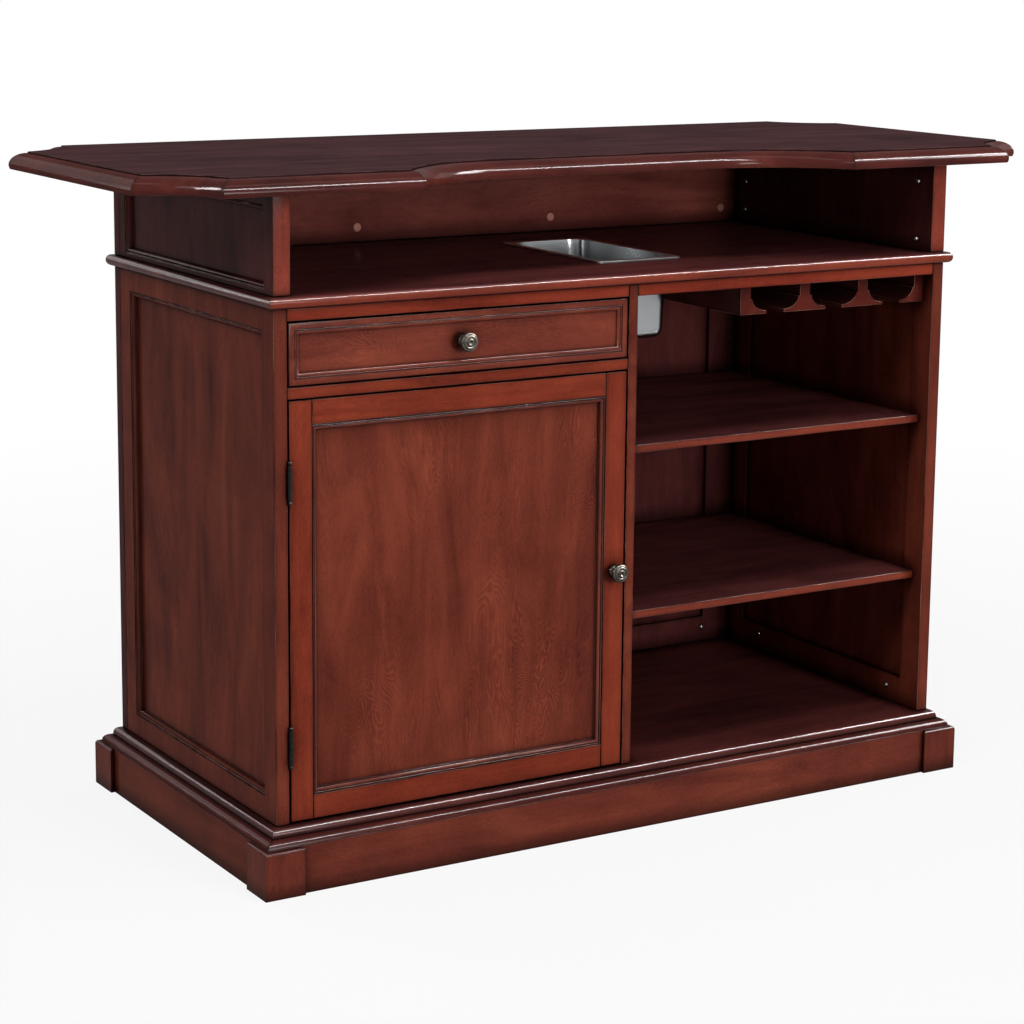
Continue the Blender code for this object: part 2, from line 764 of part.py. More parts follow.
def bin_middle():
    """The middle of the ice bin in plan."""
    return HALF_DIVIDER + BIN_FROM_DIVIDER + BIN_WIDTH / 2, BODY_FRONT + BIN_FROM_FRONT + BIN_LENGTH / 2


def add_counter():
    """The counter, with a bullnose all round and the cut-out for the ice bin."""
    counter = add_nosed_board(
        "counter_top",
        (-HALF_BODY - COUNTER_NOSING, BODY_FRONT - COUNTER_NOSING, COUNTER_UNDERSIDE),
        (HALF_BODY + COUNTER_NOSING, BODY_BACK + COUNTER_NOSING, COUNTER_HEIGHT),
        COUNTER_ROUND, both_edges=True,
    )
    margin = BIN_RIM - BIN_CUT_PLAY
    loop = rounded_loop(
        BIN_WIDTH / 2 - margin, BIN_LENGTH / 2 - margin, BIN_CORNER, COUNTER_UNDERSIDE - CUT_SPARE,
        bin_middle(),
    )
    depth = Vector((0.0, 0.0, COUNTER_THICKNESS + 2 * CUT_SPARE))
    use_cutter(counter, add_cutter("ice_bin_cut_out",extruded(loop, depth)))


def add_ice_bin():
    """The drop-in bin: a rim that lies on the counter, tapered walls and a rounded foot."""
    half_x = BIN_WIDTH / 2 - BIN_RIM
    half_y = BIN_LENGTH / 2 - BIN_RIM
    loops = [rounded_loop(BIN_WIDTH / 2, BIN_LENGTH / 2, BIN_RIM_CORNER, 0.0)]
    loops.append(rounded_loop(half_x, half_y, BIN_CORNER, 0.0))
    for step in range(BIN_ROUND_STEPS + 1):
        turn = math.pi / 2 * step / BIN_ROUND_STEPS
        inset = BIN_TAPER + BIN_FOOT_ROUND * (1 - math.cos(turn))
        height = BIN_FOOT_ROUND * (1 - math.sin(turn)) - BIN_DEPTH
        loops.append(rounded_loop(half_x - inset, half_y - inset, BIN_CORNER - inset, height))
    bm = bmesh.new()
    loft(bm, loops, open_start=True)
    shell = finish_mesh("ice_bin", bm, STEEL, PARTS)
    shell.location = (*bin_middle(), COUNTER_HEIGHT + GAP)
    wall = shell.modifiers.new("sheet", "SOLIDIFY")
    wall.thickness = BIN_WALL
    wall.use_even_offset = True
    hang_on(add_axis("ice_bin_lift_axis", shell.location), shell)


def plinth_section():
    """The plinth's section: an upright face, a small ledge and an ovolo up to the flat top."""
    section = [(0.0, 0.0), (0.0, PLINTH_HEIGHT - PLINTH_ROUND)]
    for step in range(PLINTH_STEPS + 1):
        turn = math.pi / 2 * step / PLINTH_STEPS
        depth = PLINTH_LEDGE + PLINTH_ROUND * (1 - math.cos(turn))
        section.append((depth, PLINTH_HEIGHT - PLINTH_ROUND * (1 - math.sin(turn))))
    section += [(PLINTH_THICKNESS, PLINTH_HEIGHT), (PLINTH_THICKNESS, 0.0)]
    return section


def plinth_mitre(sx, sy):
    """The plinth's mitre at a corner, as outer and inner points."""
    middle = (BODY_FRONT + BODY_BACK) / 2
    points = []
    for inset in (0.0, PLINTH_THICKNESS):
        reach = PLINTH_PROUD - inset
        points.append(Vector((sx * (HALF_BODY + reach), middle + sy * (BODY_DEPTH / 2 + reach), 0.0)))
    return points


def add_base():
    """The base panel with its nosing, the mitred plinth and the corner blocks on it."""
    add_nosed_board(
        "base_panel",
        (-HALF_BODY - BASE_NOSING, BODY_FRONT - BASE_NOSING, BASE_HEIGHT - BASE_PANEL_THICKNESS),
        (HALF_BODY + BASE_NOSING, BODY_BACK + BASE_NOSING, BASE_HEIGHT),
        BASE_ROUND, both_edges=False,
    )
    section = plinth_section()
    runs = (
        ("front", (-1, -1), (1, -1), (0, 1)), ("right", (1, -1), (1, 1), (-1, 0)),
        ("back", (1, 1), (-1, 1), (0, -1)), ("left", (-1, 1), (-1, -1), (1, 0)),
    )
    for word, first, last, inward in runs:
        add_straight_moulding(
            "plinth_" + word, section, plinth_mitre(*first), plinth_mitre(*last),
            Vector((*inward, 0.0)), WOOD,
        )
    for word, sx, sy in CORNERS:
        add_corner_block(word, sx, sy)


def add_corner_block(word, sx, sy):
    """A block that wraps the foot of the plinth's corner, rounded along its top edges."""
    corner = plinth_mitre(sx, sy)[0] + Vector((sx, sy, 0.0)) * (BLOCK_PROUD - PLINTH_PROUD)
    wall = BLOCK_PROUD - PLINTH_PROUD - GAP
    xs = (0.0, BLOCK_WIDTH, BLOCK_WIDTH, wall, wall, 0.0)
    ys = (0.0, 0.0, wall, wall, BLOCK_WIDTH, BLOCK_WIDTH)
    points = [Vector((-sx * x, -sy * y, 0.0)) for x, y in zip(xs, ys)]
    bm = extruded(points, Vector((0.0, 0.0, BLOCK_HEIGHT)))
    edges = []
    for edge in bm.edges:
        middle = (edge.verts[0].co + edge.verts[1].co) / 2
        on_top = min(vert.co.z for vert in edge.verts) > BLOCK_HEIGHT - GAP
        outside = min(abs(middle.x), abs(middle.y)) < wall - GAP
        if on_top and outside:
            edges.append(edge)
    round_over(bm, edges, BLOCK_ROUND, BLOCK_STEPS)
    block = finish_mesh("corner_block_" + word, bm, WOOD, PARTS)
    block.location = corner


def add_inner_structure():
    """The divider, the front rails and the two shelves."""
    add_board(
        "centre_divider", (-HALF_DIVIDER, BODY_FRONT, LOWER_LOW),
        (HALF_DIVIDER, BACK_INNER - GAP, LOWER_HIGH), WOOD,
    )
    near = HALF_DIVIDER + GAP
    far = SIDE_INNER - GAP
    rail_back = BODY_FRONT + RAIL_DEPTH
    for word, side in SIDES:
        xs = sorted((side * near, side * far))
        add_board(
            "top_rail_" + word, (xs[0], BODY_FRONT, RAIL_UNDERSIDE), (xs[1], rail_back, LOWER_HIGH), WOOD
        )
    add_board(
        "mid_rail", (-far, BODY_FRONT, MID_RAIL_UNDERSIDE), (-near, rail_back, MID_RAIL_TOP), WOOD
    )
    for word, top in (("upper", UPPER_SHELF_TOP), ("lower", LOWER_SHELF_TOP)):
        add_board(
            "shelf_" + word, (near, BODY_FRONT + SHELF_SETBACK, top - SHELF_THICKNESS),
            (far, BACK_INNER - GAP, top), WOOD,
        )


def rack_flank(side, flanged):
    """One flank of a stemware rail's section, from the top down."""
    web = side * RACK_WEB / 2
    if not flanged:
        return [(web, RACK_HEIGHT), (web, 0.0)]
    points = [(web, RACK_HEIGHT), (web, RACK_LIP + RACK_COVE)]
    cove = RACK_FLANGE - RACK_SHOULDER
    tip = RACK_WEB / 2 + RACK_FLANGE
    for step in range(RACK_STEPS + 1):
        turn = math.pi / 2 * step / RACK_STEPS
        x = tip - cove * math.cos(turn)
        points.append((side * x, RACK_LIP + RACK_COVE * (1 - math.sin(turn))))
    points.append((side * tip, 0.0))
    return points


def add_stemware_rails():
    """The rails that glasses hang from: a half rail at each end, and T rails between."""
    start = BODY_FRONT + RAIL_DEPTH + GAP
    for rail in range(RACK_RAILS):
        left = rack_flank(-1, flanged=rail > 0)
        right = rack_flank(1, flanged=rail < RACK_RAILS - 1)
        piece = add_outline(f"stemware_rail_{rail + 1}", left + right[::-1], RACK_LENGTH, WOOD)
        piece.location = (
            RACK_FIRST + rail * RACK_PITCH, start + RACK_LENGTH / 2, LOWER_HIGH - RACK_HEIGHT
        )
        piece.rotation_euler = (math.pi / 2, 0.0, 0.0)


def add_knob(name, x, face, z):
    """A turned knob on a face, pointing at the bartender."""
    profile = [(radius * KNOB_RADIUS, reach * KNOB_REACH) for radius, reach in KNOB_PROFILE]
    knob = add_turned(name, profile, KNOB_STEPS, ANTIQUE_METAL)
    knob.location = (x, face - GAP, z)
    knob.rotation_euler = (math.pi / 2, 0.0, 0.0)
    return knob


def add_drawer_front():
    """The drawer front, with a moulded border round its field."""
    front = add_board(
        "drawer_front", (FRONT_LEFT, BODY_FRONT, DRAWER_LOW),
        (FRONT_RIGHT, DRAWER_INNER_FACE, DRAWER_HIGH), WOOD,
    )
    border = DRAWER_BORDER + MOULD_WIDTH
    rect = (FRONT_LEFT + border, FRONT_RIGHT - border, DRAWER_LOW + border, DRAWER_HIGH - border)
    cut_pocket(front, "drawer_field",rect, on_front, DRAWER_FIELD_RECESS)
    return front


def add_drawer_side(word, wall, inward, box, bottom):
    """One side of the drawer, grooved for its runner and for the bottom, and the runner itself."""
    box_low, box_high, box_end = box
    outer = wall + inward * DRAWER_SIDE_CLEARANCE
    inner = outer + inward * DRAWER_WALL
    start = DRAWER_INNER_FACE + GAP
    xs = sorted((outer, inner))
    piece = add_board(
        "drawer_side_" + word, (xs[0], start, box_low), (xs[1], box_end, box_high), DRAWER_WOOD
    )
    groove_low = (box_low + box_high - RUNNER_HEIGHT - RUNNER_PLAY) / 2
    groove_high = groove_low + RUNNER_HEIGHT + RUNNER_PLAY
    groove = wall + inward * (RUNNER_THICKNESS + RUNNER_PLAY)
    xs = sorted((outer - inward * CUT_SPARE, groove))
    cut_box(
        piece, f"runner_groove_{word}", (xs[0], start - CUT_SPARE, groove_low),
        (xs[1], box_end + CUT_SPARE, groove_high),
    )
    xs = sorted((inner - inward * (DRAWER_BOTTOM_BITE + GAP), inner + inward * CUT_SPARE))
    cut_box(
        piece, f"bottom_groove_{word}", (xs[0], start - CUT_SPARE, bottom[0] - GAP),
        (xs[1], box_end + CUT_SPARE, bottom[1] + GAP),
    )
    xs = sorted((wall + inward * GAP, wall + inward * RUNNER_THICKNESS))
    top = groove_high - GAP
    add_board(
        "drawer_runner_" + word, (xs[0], BODY_FRONT + RAIL_DEPTH, top - RUNNER_HEIGHT),
        (xs[1], BACK_INNER - GAP, top), DRAWER_WOOD, ease=EASE / 2,
    )
    return piece, inner


def add_drawer():
    """The drawer: its front, grooved sides, back, bottom and knob."""
    box_low = DRAWER_LOW + DRAWER_BOX_LIFT
    box = (box_low, box_low + DRAWER_BOX_HEIGHT, DRAWER_INNER_FACE + GAP + DRAWER_BOX_LENGTH)
    bottom = (box_low + DRAWER_BOTTOM_LIFT, box_low + DRAWER_BOTTOM_LIFT + DRAWER_BOTTOM)
    left_side, left = add_drawer_side("left", -SIDE_INNER, 1, box, bottom)
    right_side, right = add_drawer_side("right", -HALF_DIVIDER, -1, box, bottom)
    left_groove = left - DRAWER_BOTTOM_BITE
    right_groove = right + DRAWER_BOTTOM_BITE
    front = add_drawer_front()
    cut_box(
        front, "bottom_groove_front",
        (left_groove - GAP, DRAWER_INNER_FACE - DRAWER_BOTTOM_BITE - GAP, bottom[0] - GAP),
        (right_groove + GAP, DRAWER_INNER_FACE + CUT_SPARE, bottom[1] + GAP),
    )
    back = add_board(
        "drawer_back", (left + GAP, box[2] - DRAWER_WALL, bottom[1] + GAP),
        (right - GAP, box[2], box[1]), DRAWER_WOOD,
    )
    floor = add_board(
        "drawer_bottom", (left_groove, DRAWER_INNER_FACE - DRAWER_BOTTOM_BITE, bottom[0]),
        (right_groove, box[2], bottom[1]), DRAWER_WOOD, ease=0,
    )
    x = (FRONT_LEFT + FRONT_RIGHT) / 2
    z = (DRAWER_LOW + DRAWER_HIGH) / 2
    knob = add_knob("drawer_knob", x, BODY_FRONT + DRAWER_FIELD_RECESS, z)
    axis = add_axis("drawer_slide_axis", (x, BODY_FRONT, z))
    hang_on(axis, front, left_side, right_side, back, floor, knob)


def cut_door_groove(name, piece, low_x, high_x, low_z, high_z):
    """Cuts the groove that the door's panel sits in."""
    near = BODY_FRONT + PANEL_RECESS - GAP
    far = BODY_FRONT + PANEL_RECESS + PANEL_THICKNESS + GAP
    cut_box(piece, name, (low_x, near, low_z), (high_x, far, high_z))


def add_door_frame(opening):
    """The door's stiles and rails, grooved for the panel."""
    left, right, low, high = opening
    back = BODY_FRONT + DOOR_THICKNESS
    pieces = []
    for word, edge, inward in (("left", left, 1), ("right", right, -1)):
        xs = sorted((edge - inward * DOOR_MEMBER, edge))
        stile = add_board(
            "door_stile_" + word, (xs[0], BODY_FRONT, DOOR_LOW), (xs[1], back, DOOR_HIGH), WOOD
        )
        xs = sorted((edge - inward * GROOVE_DEPTH, edge + inward * CUT_SPARE))
        cut_door_groove(f"door_stile_{word}_groove",stile, *xs, low - GROOVE_DEPTH, high + GROOVE_DEPTH)
        pieces.append(stile)
    for word, edge, inward in (("bottom", low, 1), ("top", high, -1)):
        zs = sorted((edge - inward * DOOR_MEMBER, edge))
        rail = add_board(
            "door_rail_" + word, (left + GAP, BODY_FRONT, zs[0]), (right - GAP, back, zs[1]), WOOD
        )
        zs = sorted((edge - inward * GROOVE_DEPTH, edge + inward * CUT_SPARE))
        cut_door_groove(f"door_rail_{word}_groove",rail, left - CUT_SPARE, right + CUT_SPARE, *zs)
        pieces.append(rail)
    return pieces


def add_door_panel(opening):
    """The door's flat panel, in the grooves of its frame."""
    left, right, low, high = opening
    near = BODY_FRONT + PANEL_RECESS
    return add_board(
        "door_panel", (left - PANEL_BITE, near, low - PANEL_BITE),
        (right + PANEL_BITE, near + PANEL_THICKNESS, high + PANEL_BITE), WOOD, ease=0,
    )


def add_door_moulding(opening):
    """The mitred moulding round the inside of the door's frame, in front of its panel."""
    left, right, low, high = opening
    rect = (left + MOULD_WIDTH, right - MOULD_WIDTH, low + MOULD_WIDTH, high - MOULD_WIDTH)
    width = MOULD_WIDTH - GAP
    depth = PANEL_RECESS - GAP
    section = [*bead_edge(width, depth - PANEL_LIP), (0.0, depth), (width, depth)]
    loops = zip(*(rect_loop(rect, grow, level, on_front) for grow, level in section))
    bm = bmesh.new()
    loft(bm, loops, cyclic=True)
    return finish_mesh("door_moulding", bm, WOOD, PARTS)


def knuckle_spans(first):
    """The lowest and highest points of every other knuckle, about the hinge's middle."""
    pitch = HINGE_HEIGHT / HINGE_KNUCKLES
    foot = -HINGE_HEIGHT / 2
    return [
        (foot + k * pitch + GAP / 2, foot + (k + 1) * pitch - GAP / 2)
        for k in range(first, HINGE_KNUCKLES, 2)
    ]


def ball_tip(end):
    """The ball on a hinge pin's end, from the tip inwards."""
    middle = HINGE_HEIGHT / 2 + HINGE_BALL_REACH - HINGE_BALL_RADIUS
    neck = math.asin(HINGE_PIN_RADIUS / HINGE_BALL_RADIUS)
    points = []
    for step in range(HINGE_BALL_STEPS + 1):
        turn = (math.pi - neck) * step / HINGE_BALL_STEPS
        height = middle + HINGE_BALL_RADIUS * math.cos(turn)
        points.append((HINGE_BALL_RADIUS * math.sin(turn), end * height))
    return points


def leaf_plate(side, spans):
    """A hinge leaf beside the pin, with tabs that reach into its own knuckles and clear the others."""
    clear = HINGE_AXIS_PROUD
    half = HINGE_HEIGHT / 2
    outline = [(HINGE_LEAF_WIDTH, half), (HINGE_LEAF_WIDTH, -half), (clear, -half)]
    for low, high in spans:
        outline += [(clear, low + GAP), (GAP, low + GAP), (GAP, high - GAP), (clear, high - GAP)]
    outline.append((clear, half))
    points = [Vector((side * GAP / 2, y, z)) for y, z in outline]
    return extruded(points, Vector((side * HINGE_LEAF_THICKNESS, 0.0, 0.0)))


def add_frame_leaf(name, place):
    """The hinge leaf on the side frame, with its knuckles and the ball-tipped pin."""
    spans = knuckle_spans(0)
    profile = ball_tip(1)
    for low, high in reversed(spans):
        profile += [
            (HINGE_PIN_RADIUS, high), (HINGE_BARREL_RADIUS, high),
            (HINGE_BARREL_RADIUS, low), (HINGE_PIN_RADIUS, low),
        ]
    profile += reversed(ball_tip(-1))
    leaf = add_turned(name, profile, HINGE_STEPS, BLACK_METAL)
    leaf.location = place
    plate = add_cutter(name + "_plate",leaf_plate(-1, spans))
    plate.location = place
    use_cutter(leaf, plate, "UNION")


def upright_cylinder(radius, low, high):
    """A closed upright cylinder on the Z axis."""
    bm = bmesh.new()
    matrix = Matrix.Translation((0.0, 0.0, (low + high) / 2))
    bmesh.ops.create_cone(
        bm, cap_ends=True, segments=HINGE_STEPS, radius1=radius, radius2=radius, depth=high - low,
        matrix=matrix,
    )
    return bm


def add_door_leaf(name, place):
    """The hinge leaf on the door, with its knuckles bored for the pin."""
    spans = knuckle_spans(1)
    leaf = finish_mesh(name, leaf_plate(1, spans), BLACK_METAL, PARTS)
    leaf.location = place
    for number, (low, high) in enumerate(spans):
        knuckle = add_cutter(f"{name}_knuckle_{number}",upright_cylinder(HINGE_BARREL_RADIUS, low, high))
        knuckle.location = place
        use_cutter(leaf, knuckle, "UNION")
    bore = add_cutter(name + "_bore",upright_cylinder(HINGE_BORE_RADIUS, -HINGE_HEIGHT, HINGE_HEIGHT))
    bore.location = place
    use_cutter(leaf, bore)
    return leaf


def add_door():
    """The cupboard door on its two butt hinges."""
    opening = (
        FRONT_LEFT + DOOR_MEMBER, FRONT_RIGHT - DOOR_MEMBER, DOOR_LOW + DOOR_MEMBER, DOOR_HIGH - DOOR_MEMBER
    )
    pieces = add_door_frame(opening)
    pieces.append(add_door_panel(opening))
    pieces.append(add_door_moulding(opening))
    middle = (DOOR_LOW + DOOR_HIGH) / 2
    pieces.append(add_knob("door_knob", FRONT_RIGHT - DOOR_MEMBER / 2, BODY_FRONT, middle))
    for word, height in (("upper", DOOR_HIGH - HINGE_FROM_HEAD), ("lower", DOOR_LOW + HINGE_FROM_FOOT)):
        place = (HINGE_X, HINGE_Y, height)
        add_frame_leaf(f"hinge_{word}_frame_leaf", place)
        pieces.append(add_door_leaf(f"hinge_{word}_door_leaf", place))
    hang_on(add_axis("door_hinge_axis", (HINGE_X, HINGE_Y, middle)), *pieces)


clear_scene()
PARTS = make_collection("home_bar")
CUTTERS = make_collection("cutters")
WOOD = make_material("mahogany body", (0.165, 0.033, 0.017), 0.28)
TOP_WOOD = make_material("mahogany top", (0.070, 0.028, 0.030), 0.22)
DRAWER_WOOD = make_material("drawer wood", (0.200, 0.060, 0.030), 0.55)
BLACK_METAL = make_material("black metal", (0.012, 0.011, 0.011), 0.40, 1.0)
ANTIQUE_METAL = make_material("antique metal", (0.190, 0.160, 0.120), 0.35, 1.0)
STEEL = make_material("brushed steel", (0.560, 0.570, 0.580), 0.30, 1.0)

add_bar_top()
add_top_mouldings()
add_upper_compartment()
add_counter()
add_ice_bin()
add_lower_sides()
add_lower_back()
add_inner_structure()
add_stemware_rails()
add_drawer()
add_door()
add_base()
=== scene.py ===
"""Looks of the home bar: finer copies of the CAD nodes, small hardware, procedural materials, camera and light."""

import math

import bmesh
import bpy
from mathutils import Matrix, Vector


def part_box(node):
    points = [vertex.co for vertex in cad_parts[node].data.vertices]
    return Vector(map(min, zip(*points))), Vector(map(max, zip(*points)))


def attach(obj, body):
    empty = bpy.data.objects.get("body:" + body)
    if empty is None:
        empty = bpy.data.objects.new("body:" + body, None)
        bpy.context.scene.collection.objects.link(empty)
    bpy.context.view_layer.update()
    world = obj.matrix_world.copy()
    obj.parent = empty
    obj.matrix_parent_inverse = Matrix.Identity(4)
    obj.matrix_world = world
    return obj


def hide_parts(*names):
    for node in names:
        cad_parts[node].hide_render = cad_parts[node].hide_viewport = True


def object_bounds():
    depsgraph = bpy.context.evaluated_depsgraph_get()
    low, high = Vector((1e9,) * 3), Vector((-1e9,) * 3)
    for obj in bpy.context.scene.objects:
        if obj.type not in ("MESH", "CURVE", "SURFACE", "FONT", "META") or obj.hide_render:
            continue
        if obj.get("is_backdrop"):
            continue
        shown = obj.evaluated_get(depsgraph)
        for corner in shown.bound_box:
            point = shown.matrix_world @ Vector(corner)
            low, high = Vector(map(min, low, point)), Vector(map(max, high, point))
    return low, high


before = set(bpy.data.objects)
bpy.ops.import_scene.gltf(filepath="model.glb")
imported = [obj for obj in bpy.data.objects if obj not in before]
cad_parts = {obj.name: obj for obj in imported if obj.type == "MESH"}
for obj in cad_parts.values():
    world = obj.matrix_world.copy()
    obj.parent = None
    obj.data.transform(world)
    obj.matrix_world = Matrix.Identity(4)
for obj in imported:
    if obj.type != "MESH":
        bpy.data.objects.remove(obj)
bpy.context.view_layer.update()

# ---------------------------------------------------------------- materials

X, Y, Z = 0, 1, 2


def srgb(red, green, blue):
    """A colour given as 0 to 255, as the shader wants it."""
    def linear(c):
        c /= 255
        return c / 12.92 if c <= 0.04045 else ((c + 0.055) / 1.055) ** 2.4
    return (linear(red), linear(green), linear(blue), 1.0)


def darker(colour, share):
    """A colour with only a share of its light."""
    return tuple(c * share for c in colour[:3]) + (1.0,)


PIECE_SHIFT = (7.3, 5.1, 9.7)
AO_SAMPLES = 4


class Graph:
    """Shorthand for a material's node tree."""

    def __init__(self, name, **constants):
        self.material = bpy.data.materials.new(name)
        self.material.use_nodes = True
        self.tree = self.material.node_tree
        self.shader = self.tree.nodes["Principled BSDF"]
        for socket, value in constants.items():
            self.shader.inputs[socket.replace("_", " ")].default_value = value

    def feed(self, socket, value):
        if isinstance(value, bpy.types.NodeSocket):
            self.tree.links.new(value, socket)
        else:
            socket.default_value = value

    def add(self, kind, inputs=(), **settings):
        node = self.tree.nodes.new(kind)
        for name, value in settings.items():
            setattr(node, name, value)
        for key, value in dict(inputs).items():
            self.feed(node.inputs[key], value)
        return node

    def math(self, operation, a, b=0.0, clamp=False):
        return self.add("ShaderNodeMath", {0: a, 1: b}, operation=operation, use_clamp=clamp).outputs[0]

    def times(self, a, b):
        return self.math("MULTIPLY", a, b)

    def plus(self, first, *others):
        for other in others:
            first = self.math("ADD", first, other)
        return first

    def vector(self, operation, a, b):
        return self.add("ShaderNodeVectorMath", {0: a, 1: b}, operation=operation).outputs[0]

    def mix(self, factor, a, b):
        return self.add("ShaderNodeMix", {0: factor, 6: a, 7: b}, data_type="RGBA").outputs[2]

    def ramp(self, factor, *stops):
        node = self.add("ShaderNodeValToRGB", {0: factor})
        points = node.color_ramp.elements
        while len(points) < len(stops):
            points.new(0.5)
        for point, (place, colour) in zip(points, stops):
            point.position = place
            point.color = colour if isinstance(colour, tuple) else (colour, colour, colour, 1.0)
        return node.outputs[0]

    def noise(self, vector, scale, detail=3.0, roughness=0.55, distortion=0.0):
        inputs = {"Vector": vector, "Scale": scale, "Detail": detail, "Roughness": roughness, "Distortion": distortion}
        return self.add("ShaderNodeTexNoise", inputs).outputs["Fac"]

    def place(self):
        """Object coordinates, moved by piece so that no two boards show the same grain."""
        own = self.add("ShaderNodeObjectInfo").outputs["Random"]
        moves = {axis: self.times(own, much) for axis, much in zip("XYZ", PIECE_SHIFT)}
        shift = self.add("ShaderNodeCombineXYZ", moves).outputs[0]
        return self.vector("ADD", self.add("ShaderNodeTexCoord").outputs["Object"], shift)

    def stretched(self, place, axis, share):
        """A place squeezed along one axis, so that a pattern on it is drawn out along that axis."""
        stretch = [1.0, 1.0, 1.0]
        stretch[axis] = share
        return self.vector("MULTIPLY", place, stretch)

    def spot(self):
        """Where a place is at rest, as its three numbers."""
        return self.add("ShaderNodeSeparateXYZ", {0: self.add("ShaderNodeTexCoord").outputs["Object"]}).outputs

    def facing(self, way):
        """How much a face looks one way along Y."""
        normal = self.add("ShaderNodeNewGeometry").outputs["Normal"]
        return self.times(self.add("ShaderNodeSeparateXYZ", {0: normal}).outputs[Y], way)

    def edge(self):
        """1 on the faces that fine_copy marked as corners, and 0 elsewhere."""
        return self.add("ShaderNodeAttribute", attribute_name="edge").outputs["Fac"]

    def crevice(self, reach, *stops):
        """How dark a place is made, from the share of the sky that it sees: glazing and grime in crevices, with painted
        shade.
        """
        sky = self.add("ShaderNodeAmbientOcclusion", {"Distance": reach}, samples=AO_SAMPLES)
        return self.ramp(sky.outputs["AO"], *stops)

    def rim(self, reach, *stops):
        """How near a piece's own corner a place is, from how soon rays sent inwards come out again."""
        depth = self.add("ShaderNodeAmbientOcclusion", {"Distance": reach}, samples=AO_SAMPLES, inside=True,
                         only_local=True)
        return self.ramp(depth.outputs["AO"], *stops)

    def bump(self, height, strength, distance):
        node = self.add("ShaderNodeBump", {"Strength": strength, "Distance": distance, "Height": height})
        self.feed(self.shader.inputs["Normal"], node.outputs[0])


WORN = srgb(206, 150, 132)

# Patterns of the wood: share along the grain, scale, detail, roughness and distortion of the noise.
STREAK = (0.055, 150.0, 5.0, 0.62)
FIGURE = (0.20, 13.0, 4.0, 0.6, 1.2)
PORE = (0.11, 640.0, 2.0, 0.5)
GROWTH = (0.26, 8.0, 3.0, 0.42, 1.0)
PATCH = (0.5, 7.0, 2.0)
FLECK = (0.5, 430.0, 2.0, 0.6)
RUBBED = (0.25, 40.0, 3.0, 0.6)
# Patterns that run no special way: scale, detail, roughness and distortion.
CLOUD = (6.0, 3.0, 0.6, 0.6)
SMEAR = (18.0, 4.0, 0.6, 0.8)

# How the patterns make up the tone, and where on it the three tones of a palette lie.
STREAK_SHARE, FIGURE_SHARE, CLOUD_SHARE, FLECK_SHARE = 0.11, 0.60, 0.30, 0.16
TONE_LIFT = 0.05
GROWTH_LINES = 520.0
TONE_STOPS = (0.32, 0.50, 0.68)

# Stops of the ramps: a value of the pattern, and how much there.
PATCH_STOPS = ((0.46, 0.10), (0.62, 1.0))
FACING_STOPS = ((0.55, 0.0), (0.85, 1.0))
RIM_STOPS = ((0.45, 1.0), (0.90, 0.0))
GLAZE_SHADE_STOPS = ((0.50, 1.0), (0.76, 0.52), (0.94, 0.10), (1.0, 0.0))
LINE_STOPS = ((0.45, 1.0), (0.80, 0.0))
PORE_FROM, PORE_TO, PORE_SHARE = 0.34, 0.45, 0.16
RUBBED_FROM, RUBBED_TO = 0.40, 0.75

# How far from a corner glaze with painted shade, fine dark lines and the shade along edges reach, in metres, and how
# dark each is.
GLAZE_SHADE_REACH, LINE_REACH, RIM_REACH = 0.030, 0.0045, 0.006
PORE_TONE, RIM_TONE, GLAZE_SHADE_TONE, LINE_TONE = 0.40, 0.30, 0.16, 0.08
LINE_SHARE, EDGE_SHARE = 0.85, 0.75
CROWN_BLEND = 0.003

# What streaks, smears and glaze add to the roughness, and the mean that the first two take from it.
STREAK_ROUGH, SMEAR_ROUGH, GLAZE_ROUGH, MEAN_ROUGH = 0.10, 0.12, 0.25, 0.11
STREAK_RELIEF = 0.35

# Lacquer: from FILLED_FROM of coat on, it fills the pores.
COAT_ROUGHNESS = 0.15
FILLED_FROM, OPEN_BUMP, FILLED_BUMP, PORE_DEPTH = 0.09, 0.22, 0.035, 0.00035


